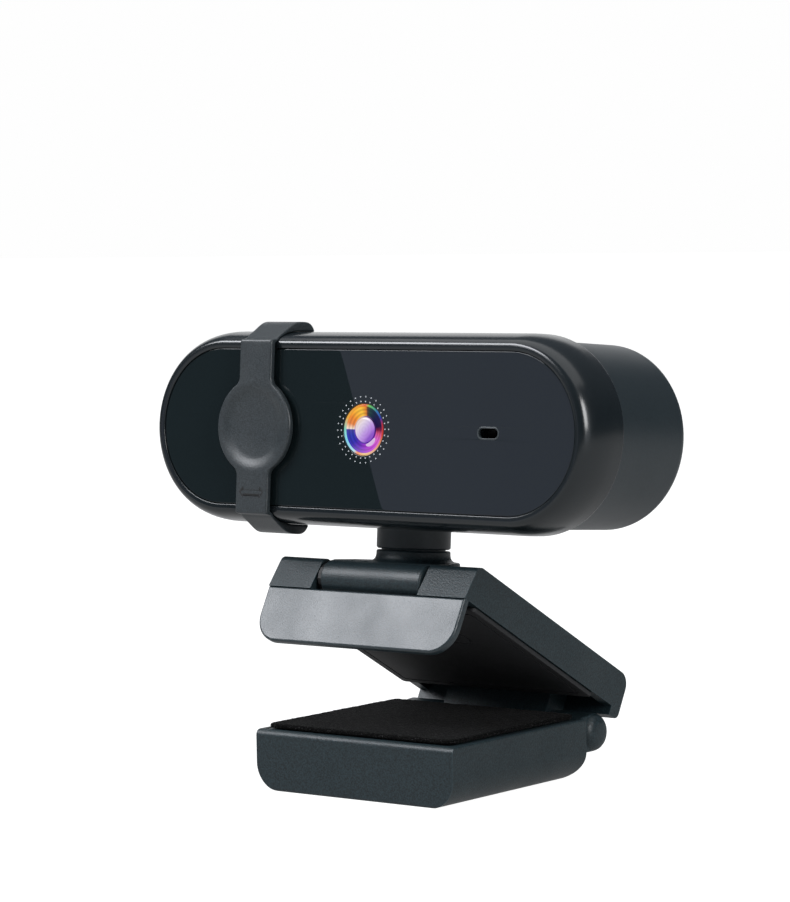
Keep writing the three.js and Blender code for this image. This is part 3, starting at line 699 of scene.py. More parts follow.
@dataclass(frozen=True)
class LensCoating(Finish):
    """Glass with an interference coating, which throws back a different colour from each part.

    The colours are painted reflections: they are emitted, so the coating glows by itself though it is no
    lamp, and painted shade darkens them in faint rings.

    Args:
        sweep: how the colours run.
        stops: positions along the sweep, each with an sRGB hex.
        glow: how brightly the painted reflections glow.
        size_mm: the coated part's radius.
        shade: how dark the painted shade of the rings is, from 0 for black to 1 for none.
        coat: how much clear glass lies over it.
        ring_mm: distance from one ring to the next.
    """

    sweep: Sweep = Sweep.ROUND
    stops: tuple[tuple[float, str], ...] = ()
    glow: float = 0.6
    size_mm: float = 4.5
    shade: float = 0.6
    coat: float = 0.3
    ring_mm: float = 0.62

    def dress(self, tree: Tree, shader: Node, place: Socket) -> None:
        """Paints the reflections' colours into the emission, by angle or across, with painted shade in faint
        rings.

        Args:
            tree: the material's node tree.
            shader: its principled shader.
            place: positions on the piece, in metres.
        """
        shader.inputs["Specular IOR Level"].default_value = 0.05
        shader.inputs["Coat Weight"].default_value = self.coat
        shader.inputs["Coat Roughness"].default_value = 0.02
        # Painted reflection: the coating's colours glow as emission, though the lens is no lamp.
        shader.inputs["Emission Strength"].default_value = self.glow
        parts = add(tree, "ShaderNodeSeparateXYZ", {"Vector": place})
        across, upward = parts.outputs["X"], parts.outputs["Z"]
        round_it = self.sweep is Sweep.ROUND
        first, second = (upward, across) if round_it else (across, upward)
        way = add(tree, "ShaderNodeMath", {0: first, 1: second},
                  operation="ARCTAN2" if round_it else "SUBTRACT")
        reach = math.pi if round_it else 1.2 * self.size_mm * MM
        along = add(tree, "ShaderNodeMapRange", {
            "Value": way.outputs["Value"], "From Min": -reach, "From Max": reach,
            "To Min": 0.0, "To Max": 1.0})
        colours = add(tree, "ShaderNodeValToRGB", {"Fac": along.outputs["Result"]},
                      stops=[(at, srgb(code)) for at, code in self.stops])
        # Painted shade: faint rings darken the glowing colours.
        middle = add(tree, "ShaderNodeVectorMath", {0: place}, operation="LENGTH")
        waves = add(tree, "ShaderNodeMath", {
            0: middle.outputs["Value"], 1: FULL_TURN / (self.ring_mm * MM)}, operation="MULTIPLY")
        rings = add(tree, "ShaderNodeMath", {0: waves.outputs["Value"]}, operation="SINE")
        shadow = add(tree, "ShaderNodeMapRange", {
            "Value": rings.outputs["Value"], "From Min": -1.0, "From Max": 1.0,
            "To Min": self.shade, "To Max": 1.0})
        dimmed = add(tree, "ShaderNodeMix", {
            0: 1.0, 6: colours.outputs["Color"], 7: shadow.outputs["Result"]},
            data_type="RGBA", blend_type="MULTIPLY")
        shader.inputs["Base Color"].default_value = srgb(self.colour, 0.04)
        # The painted reflection's colours go into the emission.
        tree.links.new(dimmed.outputs[2], shader.inputs["Emission Color"])


@dataclass(frozen=True)
class ClearGlass(Finish):
    """Clear optical glass with a little dust."""

    def dress(self, tree: Tree, shader: Node, place: Socket) -> None:
        """Makes the glass clear and its dust faintly dull."""
        shader.inputs["Transmission Weight"].default_value = 1.0
        self.wander(tree, shader, place, 0.6, self.roughness, self.roughness + 0.05)


class Finishes:
    """The finishes of this webcam, each named for what it really is."""

    # ABS from a spark-eroded mould: an even sparkle of tiny facets over a dark slate blue.
    CLIP: ClassVar[Finish] = MouldedPlastic("spark_eroded_abs", "#1b272b", 0.44, 1.42, grain_mm=0.28,
                                            grain_deep_mm=0.045, fleck=0.5, drift=0.05, edge_lift=2.2)
    # The flap's own satin moulding: the same plastic with a finer texture, which shines much more.
    FLAP: ClassVar[Finish] = MouldedPlastic("satin_abs_flap", "#1c282d", 0.38, 1.54, grain_mm=0.26,
                                            grain_deep_mm=0.03, fleck=0.4, drift=0.04, edge_lift=2.2)
    # A greyer ABS with finer grain: a thin moulded strap looks softer than the clip.
    COVER: ClassVar[Finish] = MouldedPlastic("fine_grain_abs_strap", "#282e31", 0.38, 1.49, grain_mm=0.24,
                                             grain_deep_mm=0.026, fleck=0.45, drift=0.05, edge_lift=2.2)
    # ABS from a polished mould: long soft highlights over near black.
    BEZEL: ClassVar[Finish] = MouldedPlastic("polished_black_abs", "#12181b", 0.2, 1.5, grain_mm=1.6,
                                             grain_deep_mm=0.004, fleck=0.05, drift=0.05, edge_lift=1.2)
    # ABS from a satin mould: broad dull highlights, so the rear shell reads greyer than the bezel.
    HOUSING: ClassVar[Finish] = MouldedPlastic("satin_black_abs", "#1f272b", 0.4, 1.46, grain_mm=0.5,
                                               grain_deep_mm=0.006, fleck=0.08, drift=0.06)
    # Matt inner mouldings that swallow light.
    INNER: ClassVar[Finish] = MouldedPlastic("matt_black_nylon", "#0c0d0e", 0.62, 1.5, grain_mm=0.3,
                                             grain_deep_mm=0.02, fleck=0.2)
    # Acrylic over black ink: a deep, slightly green black that mirrors the room.
    PANEL: ClassVar[Finish] = PolishedPanel("clear_acrylic_over_black_ink", "#141c1e", 0.0, 1.5)
    # Foam sheet: the blackest surface, with a ragged edge.
    FOAM: ClassVar[Finish] = OpenCellFoam("open_cell_foam", "#0d0d0d", 0.95)
    # Moulded rubber: dull black with a bloom.
    RUBBER: ClassVar[Finish] = MouldedPlastic("moulded_nitrile_rubber", "#17181a", 0.72, 1.5, grain_mm=0.4,
                                              grain_deep_mm=0.03, fleck=0.25, drift=0.08)
    # Zinc-plated steel: grey metal with a soft shine.
    STEEL: ClassVar[Finish] = TurnedMetal("zinc_plated_steel", "#a9adb1", 0.32, metallic=1.0)
    # Blackened steel: the same screws, with a dark oxide skin.
    BLACK_STEEL: ClassVar[Finish] = TurnedMetal("black_oxide_steel", "#242528", 0.4, metallic=1.0)
    # Turned brass: warm metal.
    BRASS: ClassVar[Finish] = TurnedMetal("turned_brass", "#b8965a", 0.3, metallic=1.0)
    # Screen-printed pale ink: crisp and flat.
    INK: ClassVar[Finish] = MouldedPlastic("screen_printed_white_ink", "#a9adb0", 0.5, 1.5, grain_mm=0.15,
                                           grain_deep_mm=0.002, fleck=0.06, drift=0.02)
    # Solder mask over copper, and the parts that sit on the board.
    BOARD: ClassVar[Finish] = CircuitBoard("green_solder_mask", "#12492a", 0.35)
    CHIP: ClassVar[Finish] = MouldedPlastic("moulded_epoxy", "#17181a", 0.5, 1.5, grain_mm=0.2,
                                            grain_deep_mm=0.01, fleck=0.3)
    NYLON: ClassVar[Finish] = MouldedPlastic("natural_nylon", "#dcd6c6", 0.45, 1.53, grain_mm=0.5,
                                             grain_deep_mm=0.01, fleck=0.05)
    GLASS: ClassVar[Finish] = ClearGlass("optical_glass", "#ffffff", 0.0, 1.45)
    # The middle of the lens: a painted reflection that glows milky violet, whiter towards the upper left.
    PUPIL: ClassVar[Finish] = LensCoating(
        "violet_pupil_painted_reflection", "#d9b4f0", 0.08, 1.6, sweep=Sweep.ACROSS, glow=0.86, size_mm=2.3, shade=0.92,
        stops=((0.04, "#f6e2d8"), (0.2, "#f3e6f2"), (0.42, "#dcc8f0"), (0.62, "#c9a2ee"), (0.8, "#b884e6"),
               (0.95, "#8f50d0")))
    # The ring round it: a painted reflection that glows amber, dark blue-green, magenta and violet in turn.
    IRIS: ClassVar[Finish] = LensCoating(
        "rainbow_iris_painted_reflection", "#6a3ac0", 0.25, 1.6, glow=0.98, shade=0.68, coat=0.0,
        stops=((0.0, "#4a4aa0"), (0.05, "#2f3fae"), (0.12, "#3430b0"), (0.19, "#6a30bc"), (0.26, "#a03ccc"),
               (0.34, "#cc52d8"), (0.42, "#e068cc"), (0.47, "#d8587e"), (0.5, "#801c34"), (0.53, "#180c34"),
               (0.6, "#0a1040"), (0.66, "#0e2c36"), (0.7, "#1c4436"), (0.728, "#5a4424"), (0.742, "#e0841c"),
               (0.79, "#ffcb38"), (0.85, "#ffb62c"), (0.9, "#f58f20"), (0.95, "#ee8c40"), (0.985, "#ffdcb8"),
               (0.995, "#fff0e0"), (1.0, "#4a4aa0")))
    # The edge of the glass, bright with a painted reflection that glows.
    RIM: ClassVar[Finish] = LensCoating(
        "rainbow_rim_painted_reflection", "#80c0c0", 0.1, 1.6, glow=0.8, shade=1.0,
        stops=((0.0, "#8ee6d4"), (0.08, "#8ee4ff"), (0.17, "#c6f2ff"), (0.2, "#ff8e5c"), (0.26, "#ffd486"),
               (0.33, "#ffc3a4"), (0.41, "#f0a070"), (0.47, "#e03c2c"), (0.54, "#b8203c"), (0.58, "#2828a8"),
               (0.63, "#3a7cc4"), (0.66, "#34a080"), (0.71, "#6ac648"), (0.737, "#ee5a2c"), (0.8, "#ffa62c"),
               (0.92, "#ffb63a"), (1.0, "#8ee6d4")))
    # The step between iris and pupil: a painted reflection that glows pale where it meets the amber and deep
    # violet at the lower right.
    STEP: ClassVar[Finish] = LensCoating(
        "violet_step_painted_reflection", "#6030a0", 0.2, 1.6, glow=0.75, shade=1.0, coat=0.0,
        stops=((0.0, "#8a5cc8"), (0.12, "#5a30b4"), (0.25, "#5a22a8"), (0.4, "#6a2aa8"), (0.5, "#4a2070"),
               (0.62, "#30204c"), (0.72, "#7a5a90"), (0.8, "#ecc8b0"), (0.92, "#f0cdb4"), (1.0, "#c0a4d8")))
    # A painted highlight: a pale glowing patch at the pupil's lower right, standing in for a lamp's
    # reflection.
    PAINTED_GLINT: ClassVar[Finish] = LensCoating(
        "pale_painted_highlight", "#f4e4f8", 0.1, 1.6, sweep=Sweep.ACROSS, glow=0.8, shade=1.0,
        stops=((0.0, "#ffffff"), (0.5, "#f6e6fa"), (1.0, "#e2b8ee")))


# ------------------------------------------------------------------ where things sit


class Body(Enum):
    """The moving bodies."""

    BASE = "base"
    ARM = "arm"
    KNUCKLE = "knuckle"
    HEAD = "head"
    COVER = "cover"


class Slot(Enum):
    """Names of the material slots; no piece in this script is given one."""

    CLIP = "clip_plastic"
    FOAM = "foam_pad"
    BRASS = "brass_insert"
    STEEL = "steel"
    INNER = "inner_plastic"
    GRIP = "rubber_grip"
    BEZEL = "bezel_gloss"
    PANEL = "front_panel"
    HOUSING = "housing_satin"
    LENS = "lens_glass"
    COVER = "cover_plastic"


@dataclass(frozen=True)
class Places:
    """The frames of the webcam's groups at rest, each from its own coordinates to the model's.

    Args:
        base: origin in the middle of the base's lower front edge.
        arm: origin on the hinge axis, with -Y along the arm.
        tilt: origin on the tilt axis, with Z along the swivel axis.
        head: origin in the middle of the glass's front face, with Y towards the back.
    """

    base: Matrix
    arm: Matrix
    tilt: Matrix
    head: Matrix

    @staticmethod
    def pose(origin: Vector, across: Vector, up: Vector) -> Matrix:
        """Makes a frame from its origin and two of its directions.

        Args:
            origin: its origin in metres.
            across: its X direction.
            up: its Z direction.

        Returns:
            The frame.
        """
        back = up.cross(across)
        turn = Matrix((across, back, up)).transposed().to_4x4()
        return Matrix.Translation(origin) @ turn

    @classmethod
    def from_frame(cls, glass_half_mm: float) -> "Places":
        """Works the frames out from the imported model.

        Args:
            glass_half_mm: from the middle of the front glass to its face.

        Returns:
            The places.
        """
        joints = {joint["name"]: joint for joint in frame["joints"]}
        level, upright = Vector((1, 0, 0)), Vector((0, 0, 1))
        low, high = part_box("base_shell")
        foot = Vector(((low[0] + high[0]) / 2, low[1], low[2]))
        opened = Matrix.Rotation(math.radians(joints["clip_hinge"]["range_deg"][0]), 3, "X")
        swivel = Vector(joints["head_swivel"]["axis"]).normalized()
        slide = Vector(joints["cover_slide"]["axis"]).normalized()
        low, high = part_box("front_glass")
        pane = (Vector(low) + Vector(high)) / 2
        return cls(
            base=cls.pose(foot, level, upright),
            arm=cls.pose(Vector(joints["clip_hinge"]["pos_m"]), level, opened @ upright),
            tilt=cls.pose(Vector(joints["neck_tilt"]["pos_m"]), level, swivel),
            head=cls.pose(pane - swivel.cross(slide) * glass_half_mm * MM, slide, swivel))


def fit(thing: Thing, body: Body, finish: Finish, place: Matrix,
        stands_for: Sequence[str] = (), crisp: float = 32.0) -> Thing:
    """Puts a finished piece in its place on its body.

    Args:
        thing: the piece, made in its group's own coordinates.
        body: the body it rides on.
        finish: what it is made of.
        place: its group's frame.
        stands_for: CAD nodes that it replaces.
        crisp: edges that turn by more than this, in degrees, stay crisp.

    Returns:
        The piece.
    """
    thing.data.transform(place)
    shade(thing, crisp)
    thing.data.materials.clear()
    thing.data.materials.append(finish.build())
    for face in thing.data.polygons:
        face.material_index = 0
    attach(thing, body.value)
    if stands_for:
        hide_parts(*stands_for)
    log.info("%s rides on %s, %d faces", thing.name, body.value, len(thing.data.polygons))
    return thing


def refinish(finish: Finish, *names: str) -> None:
    """Gives CAD nodes that stay a finish, as their material slots.

    Args:
        finish: what they are made of.
        *names: the nodes.
    """
    for name in names:
        node = frame["nodes"][name]
        for spot in node.material_slots:
            spot.material = finish.build()
        log.info("%s is %s", name, finish.name)


# ------------------------------------------------------------------ screws


@dataclass(frozen=True)
class PanScrew:
    """A self-tapping pan-head screw with a cross recess.

    Args:
        shaft: radius of its thread.
        head: radius of its head.
        high: height of its head.
        pitch: distance from one thread to the next.
        thread_deep: how deep the thread is cut.
        dome: how much of the head's height is domed, as a share.
        recess: half length and half width of the cross as shares of the head's radius, and its depth
            as a share of the head's height.
    """

    shaft: float = 1.0
    head: float = 1.9
    high: float = 1.2
    pitch: float = 0.8
    thread_deep: float = 0.22
    dome: float = 0.35
    recess: tuple[float, float, float] = (0.55, 0.13, 0.62)

    def make(self, name: str, axis: Axis, centre: Point, face: float, tip: float) -> Thing:
        """Makes the screw.

        Args:
            name: the piece's name.
            axis: the local axis it lies along.
            centre: where its middle line crosses the other two axes.
            face: where the outer face of its head is.
            tip: where its point is.

        Returns:
            The screw.
        """
        way = 1 if tip > face else -1
        under = face + way * self.high
        dome = [(self.head * math.sin(a), face + way * self.dome * self.high * (1 - math.cos(a)))
                for a in (QUARTER * i / 6 for i in range(7))]
        profile = dome + [(self.head, under - way * 0.12), (self.head - 0.12, under), (self.shaft, under)]
        along = under + way * 0.3
        while way * (tip - along) > self.pitch + self.shaft:
            profile += [(self.shaft - self.thread_deep, along), (self.shaft, along + way * 0.4 * self.pitch)]
            along += way * self.pitch
        profile += [(self.shaft - self.thread_deep, along), (0.15, tip), (0.0, tip)]
        screw = turned(name, profile, axis, centre, 28)
        arm, wide = (share * self.head for share in self.recess[:2])
        low, high = sorted((face - way, face + way * self.recess[2] * self.high))
        for turn in (0, 1):
            half = (arm, wide) if turn else (wide, arm)
            u, v = centre
            outline = rounded_rect((u - half[0], v - half[1]), (u + half[0], v + half[1]), (0.08,) * 4, 2)
            carve(screw, Carve.CUT, slab("recess", [outline], low, high, axis))
        return screw


# ------------------------------------------------------------------ base of the clip


@dataclass
class BaseFoot:
    """The clip's base: a shallow tub with hinge ears, a foam pad on top and a threaded brass insert."""

    place: Matrix
    width: float = 43.9
    length: float = 40.1
    height: float = 10.95
    side_round: float = 5.0
    top_round: float = 0.4
    front_round: float = 0.5
    back_round: float = 0.6
    edge: float = 0.35
    rear_round: float = 4.5
    brow: float = 1.15           # rounding of the top front edge
    lid_thick: float = 1.6
    rim: float = 1.1
    floor: float = 2.2
    pad_inset: float = 1.35
    pad_low: float = 11.0
    pad_thick: float = 0.95
    pad_round: float = 1.6
    pad_edge: float = 0.42
    cell: float = 0.3            # size of the cells that the foam's skin is divided into
    drag: float = 0.4            # how far the knife dragged the foam's edge, as a share of the nap
    hinge_r: float = 3.45
    hinge_y: float = 44.1
    hinge_z: float = 7.9
    ear_in: float = 12.0
    ear_out: float = 21.0
    ear_skin: float = 1.2        # what closes the pin's hole at the ear's outer side
    ear_back: float = 2.1        # from the ear's root to where it meets the rim
    barrel_end: float = 22.2
    barrel_long: float = 6.0
    dome: float = 1.9            # rounding of the hinge barrel's outer ends
    pin_r: float = 1.2
    screw_x: float = 14.0
    screw_ys: tuple[float, float] = (7.0, 33.0)
    well_r: float = 2.2
    well_deep: float = 1.8
    well_hole: float = 1.3
    bore_r: float = 3.2
    insert_r: float = 5.4
    insert_deep: float = 6.6
    thread_pitch: float = 1.27
    play: float = 0.3
    nap: float = 0.07            # how uneven the foam's skin is

    def build(self) -> None:
        """Makes every piece of the base and finishes the nodes that stay."""
        self.shell()
        self.pad()
        self.insert()
        self.screws()
        refinish(Finishes.CLIP, "base_lid")
        refinish(Finishes.STEEL, "hinge_pin")

    @property
    def screw_points(self) -> list[Point]:
        """Where the four screws are."""
        return [(side * self.screw_x, y) for side in (-1, 1) for y in self.screw_ys]

    def shell(self) -> None:
        """Moulds the tub with its recess, screw wells and hinge ears."""
        half = self.width / 2
        low, high = (self.side_round,) * 2, (self.top_round,) * 2
        front = rounded_rect((-half, 0), (half, self.height), low + high, 14)
        side = rounded_rect((0, 0), (self.length, self.height),
                            (self.front_round, self.rear_round, self.back_round, self.brow), 14)
        tub = slab("base_tub", [front], 0, self.length, Axis.Y)
        carve(tub, Carve.KEEP, slab("side", [side], -half, half, Axis.X))
        soften(tub, self.edge, 40, 4)
        seat = self.height - self.lid_thick - self.play
        wall = self.side_round - 1.2
        carve(tub, Carve.CUT,
              block("hollow", (-half + wall, wall, self.floor),
                    (half - wall, self.length - wall, self.height + 1)),
              block("recess", (-half + self.rim, self.rim, seat),
                    (half - self.rim, self.length - self.rim, self.height + 1)))
        y, z, r = self.hinge_y, self.hinge_z, self.hinge_r
        inside = self.length - 3
        root = inside + self.ear_back
        ear = [(inside, z - r), *arc((y, z), r, -90, 90, 20),
               (root, self.height), (root, seat), (inside, seat)]
        for side in (-1, 1):
            low, high = sorted((side * self.ear_in, side * self.ear_out))
            ends = sorted((side * (self.barrel_end - self.barrel_long), side * self.barrel_end))
            carve(tub, Carve.JOIN,
                  slab("ear", [ear], low, high, Axis.X, 0.4, 4),
                  bar("barrel", r + 0.01, ends[0], ends[1], Axis.X, (y, z), self.dome, 64))
        above, bevel = self.floor + 1, 0.3
        for point in self.screw_points:
            well = [*self.countersink(self.well_r, bevel), (self.well_r, self.well_deep),
                    (self.well_hole, self.well_deep), (self.well_hole, above), (0, above)]
            carve(tub, Carve.CUT, turned("well", well, Axis.Z, point, 32))
        wide = self.insert_r + self.play
        mouth = [*self.countersink(wide, bevel), (wide, above), (0, above)]
        carve(tub, Carve.CUT,
              turned("mouth", mouth, Axis.Z, (0, self.length / 2), 48),
              bar("pin_hole", self.pin_r + self.play, self.ear_skin - self.ear_out,
                  self.ear_out - self.ear_skin, Axis.X, (y, z)))
        fit(tub, Body.BASE, Finishes.CLIP, self.place, ["base_shell"])

    @staticmethod
    def countersink(radius: float, bevel: float) -> Outline:
        """The start of a round hole's profile, from below the base to past its bevelled mouth."""
        return [(0, -1), (radius + bevel, -1), (radius + bevel, 0), (radius, bevel)]

    def pad(self) -> None:
        """Cuts the foam sheet, with a skin that is never quite flat and an edge that the knife dragged."""
        half = self.width / 2 - self.pad_inset
        outline = rounded_rect((-half, self.pad_inset), (half, self.length - self.pad_inset),
                               (self.pad_round,) * 4)
        sheet = slab("foam_sheet", [outline], self.pad_low, self.pad_low + self.pad_thick, Axis.Z,
                     self.pad_edge, 4)
        grid = sheet.modifiers.new("cells", "REMESH")
        grid.mode = "VOXEL"
        grid.voxel_size = self.cell * MM
        bake(sheet)
        bottom, top = self.pad_low * MM, (self.pad_low + self.pad_thick) * MM
        for vertex in sheet.data.vertices:
            spot = vertex.co / MM
            lift = noise.noise(spot * 1.7) + 0.6 * noise.noise(spot * 0.22)
            rise = (vertex.co.z - bottom) / (top - bottom)
            side = noise.noise(Vector((spot.x, spot.y, 0)) * 0.9)
            pull = self.drag * side
            vertex.co += Vector((pull, pull, rise * lift - 0.5 * rise)) * self.nap * MM
        fit(sheet, Body.BASE, Finishes.FOAM, self.place, ["base_pad"], crisp=60)

    def insert(self) -> None:
        """Turns the brass insert with its tripod thread."""
        flange, low, deep = self.insert_r, 0.3, self.insert_deep
        knurl = [(flange - (0.8 if i % 2 else 1.0), 1.6 + 0.3 * i) for i in range(20)]
        thread: Outline = []
        along = low + 0.5
        while along + self.thread_pitch < deep:
            thread += [(self.bore_r, along), (self.bore_r - 0.5, along + self.thread_pitch / 2)]
            along += self.thread_pitch
        bore = [(self.bore_r + 0.3, low), *thread, (self.bore_r, along), (self.bore_r, deep), (0, deep)]
        outside = [(0, deep + 1.2), (flange - 1.0, deep + 1.2), *knurl[::-1], (flange - 0.15, 1.6),
                   (flange, 1.45), (flange, low + 0.15), (flange - 0.15, low)]
        thing = turned("tripod_insert", [*bore[::-1], *outside[::-1]], Axis.Z, (0, self.length / 2), 64)
        fit(thing, Body.BASE, Finishes.BRASS, self.place, ["tripod_nut"])

    def screws(self) -> None:
        """Drives the four screws that hold the lid."""
        for i, point in enumerate(self.screw_points, 1):
            screw = PanScrew().make(f"base_cross_screw_{i}", Axis.Z, point, 0.4,
                                    self.height - self.lid_thick - 0.8)
            fit(screw, Body.BASE, Finishes.STEEL, self.place, [f"base_screw_{i}"])


# ------------------------------------------------------------------ arm of the clip


@dataclass
class ClipArm:
    """The clip's arm: a hollow shell whose front folds down into a flap, with rubber grips below."""

    place: Matrix
    width: float = BaseFoot.width
    top: float = 12.6
    bottom: float = 5.9
    wall: float = 2.0
    rear: float = 4.4
    rear_wall: float = 2.9
    rear_bottom: float = 4.1
    rear_round: float = 2.5
    foot_round: float = 1.3
    reach: float = 45.2
    rise: float = 9.3
    nose_r: float = 3.3
    nose_lean: float = 11.0      # degrees that the nose leans back above the crease
    nose_round: float = 1.7      # rounding of its upper edge
    flap_thick: float = 1.6
    flap_drop: float = 4.5
    flap_round: float = 5.0
    edge: float = 0.45
    cut_edge: float = 0.12
    notch: Point = (-12.4, 11.5)
    notch_back: float = -41.5
    pocket_end: float = -26.22
    pocket_floor: float = 9.2
    skin: float = 1.5
    hinge_r: float = BaseFoot.hinge_r
    lug_half: float = 11.6
    pin_r: float = 1.5
    tilt_pin_r: float = 1.4
    screw_x: float = 15.6
    screw_ys: tuple[float, float] = (-30.5, -10.0)
    lining: Point = (6.2, 7.3)
    lining_stop: float = 4.2
    crease: float = 0.04         # between the flap and the nose above it
    screw_hole: float = 2.2
    grip_thick: float = 0.8
    grip_edge: float = 0.45      # from the arm's side to the grip's edge
    grip_front: float = -44.6
    border: Point = (1.5, 0.35)  # inset and width of the line moulded round the grip
    flap_grip: float = 2.2       # from the flap's edges to its grip
    rib_pitch: float = 1.5
    gate: Point = (8.6, -30.5)   # round mark that the mould left in the grip
    play: float = 0.3

    def build(self) -> None:
        """Makes every piece of the arm and finishes the nodes that stay."""
        self.shell()
        self.lining_plate()
        self.grips()
        for i, point in enumerate(self.screw_points, 1):
            low = self.lining[0] + 0.6 - self.play - 1.2
            screw = PanScrew().make(f"arm_cross_screw_{i}", Axis.Z, point, low, self.top - 1.4)
            fit(screw, Body.ARM, Finishes.BLACK_STEEL, self.place, [f"arm_screw_{i}"])
        refinish(Finishes.STEEL, "tilt_pin")

    @property
    def screw_points(self) -> list[Point]:
        """Where the four screws are."""
        return [(side * self.screw_x, y) for side in (-1, 1) for y in self.screw_ys]

    def shell(self) -> None:
        """Moulds the shell: outer form first, its edges rounded, then everything that is cut from it."""
        half = self.width / 2
        front, back = -self.reach - self.nose_r, -self.reach - self.nose_r + self.flap_thick
        corner = (self.rear - self.rear_round, self.top - self.rear_round)
        step = self.rear - self.rear_wall
        side = [(front, self.bottom), (step, self.bottom), (step, self.rear_bottom),
                *arc((self.rear - self.foot_round, self.rear_bottom + self.foot_round), self.foot_round,
                     -90, 0, 8),
                *arc(corner, self.rear_round, 0, 90, 10),
                *self.nose(front)]
        shell = slab("arm_shell", [side], -half, half, Axis.X)
        soften(shell, self.edge, 40, 4)
        left, right = self.notch
        inner = half - self.wall
        carve(shell, Carve.CUT,
              block("cavity", (-inner, self.notch_back + 1.8, self.bottom - 3),
                    (inner, step, self.top - self.wall)))
        carve(shell, Carve.JOIN,
              block("pocket_walls", (left - self.skin, self.notch_back, self.pocket_floor - self.skin),
                    (right + self.skin, self.pocket_end + self.skin, self.top - 0.4)),
              block("web", (-self.lug_half, -self.hinge_r, 0), (self.lug_half, self.hinge_r, self.top - 1.8)),
              bar("lug", self.hinge_r, -self.lug_half, self.lug_half, Axis.X, round_edge=0.4))
        carve(shell, Carve.CUT,
              block("notch", (left, front - 1, self.bottom), (right, self.notch_back, self.top + 1)),
              block("pocket", (left, self.notch_back - 1, self.pocket_floor),
                    (right, self.pocket_end, self.top + 1)),
              bar("hinge_hole", self.pin_r, -self.lug_half - 1, self.lug_half + 1, Axis.X),
              bar("tilt_hole", self.tilt_pin_r, 1.4 - half, half - 1.4, Axis.X, (-self.reach, self.rise)))
        soften(shell, self.cut_edge, 60, 2)
        face = rounded_rect((-half, -self.flap_drop), (half, self.bottom - self.crease),
                            (self.flap_round, self.flap_round, 0, 0), 14)
        flap = slab("flap_plate", [face], front, back, Axis.Y, self.edge, 4)
        fit(shell, Body.ARM, Finishes.CLIP, self.place, ["arm_cover"])
        fit(flap, Body.ARM, Finishes.FLAP, self.place)

    def nose(self, front: float) -> Outline:
        """The nose's profile, which leans back from the crease over the flap to the arm's top.

        Args:
            front: how far forward the flap's face is.

        Returns:
            (y, z) points of the rounding, from the top to where the straight lean starts.
        """
        lean = math.radians(self.nose_lean)
        middle = self.top - self.nose_round
        deep = (middle - self.bottom) * math.tan(lean) + self.nose_round / math.cos(lean)
        return arc((front + deep, middle), self.nose_round, 90, 180 - self.nose_lean, 10)

    @staticmethod
    def inset_outline(half: float, front: float, back: float) -> Outline:
        """A rounded rectangle for lines moulded into the grip."""
        return rounded_rect((-half, front), (half, back), (0.8,) * 4, 6)

    def lining_plate(self) -> None:
        """Cuts the plate that closes the arm from below."""
        half = self.width / 2 - self.wall - self.play
        low, high = self.lining
        front = self.notch_back + 1.8 + self.play
        outline = rounded_rect((-half, front), (half, -self.lining_stop), (0.6,) * 4, 4)
        holes = [circle(point, self.screw_hole, 28) for point in self.screw_points]
        plate = slab("arm_inner_plate", [outline, *holes], low, high, Axis.Z, 0.15, 2)
        fit(plate, Body.ARM, Finishes.INNER, self.place, ["arm_lining"])

    def grips(self) -> None:
        """Moulds the grip that covers the arm's underside and its screws, and the ribbed one on the flap."""
        half = self.width / 2 - self.grip_edge
        front, back = self.grip_front, -self.lining_stop - self.play
        low = self.lining[0] - self.grip_thick - 0.35
        outline = rounded_rect((-half, front), (half, back), (0.8,) * 4)
        grip = slab("arm_rubber_grip", [outline], low, low + self.grip_thick, Axis.Z, 0.15, 3)
        for point in self.screw_points:
            carve(grip, Carve.CUT, bar("screw_room", self.screw_hole, low + 0.22, low + 2, Axis.Z, point))
        ring = [(2.3, low - 0.5), (2.75, low - 0.5), (2.75, low + 0.14), (2.3, low + 0.14), (2.3, low - 0.5)]
        line = [self.inset_outline(half - inset, front + inset, back - inset)
                for inset in (self.border[0], sum(self.border))]
        carve(grip, Carve.CUT,
              turned("gate_ring", ring, Axis.Z, self.gate, 48),
              slab("border_line", line, low - 0.5, low + 0.12, Axis.Z))
        fit(grip, Body.ARM, Finishes.RUBBER, self.place, ["arm_pad"])
        half = self.width / 2 - self.flap_grip
        back_face = -self.reach - self.nose_r + self.flap_thick + self.play
        foot = self.flap_grip - self.flap_drop
        outline = rounded_rect((-half, foot), (half, self.bottom - 1.5), (3.2, 3.2, 0.8, 0.8))
        pad = slab("flap_rubber_grip", [outline], back_face, back_face + 0.7, Axis.Y, 0.2, 3)
        for i in range(1, 4):
            level = foot + i * self.rib_pitch
            carve(pad, Carve.CUT,
                  bar("groove", 0.3, -half - 1, half + 1, Axis.X, (back_face + 0.75, level), steps=12))
        fit(pad, Body.ARM, Finishes.RUBBER, self.place, ["flap_pad"])


# ------------------------------------------------------------------ tilt knuckle


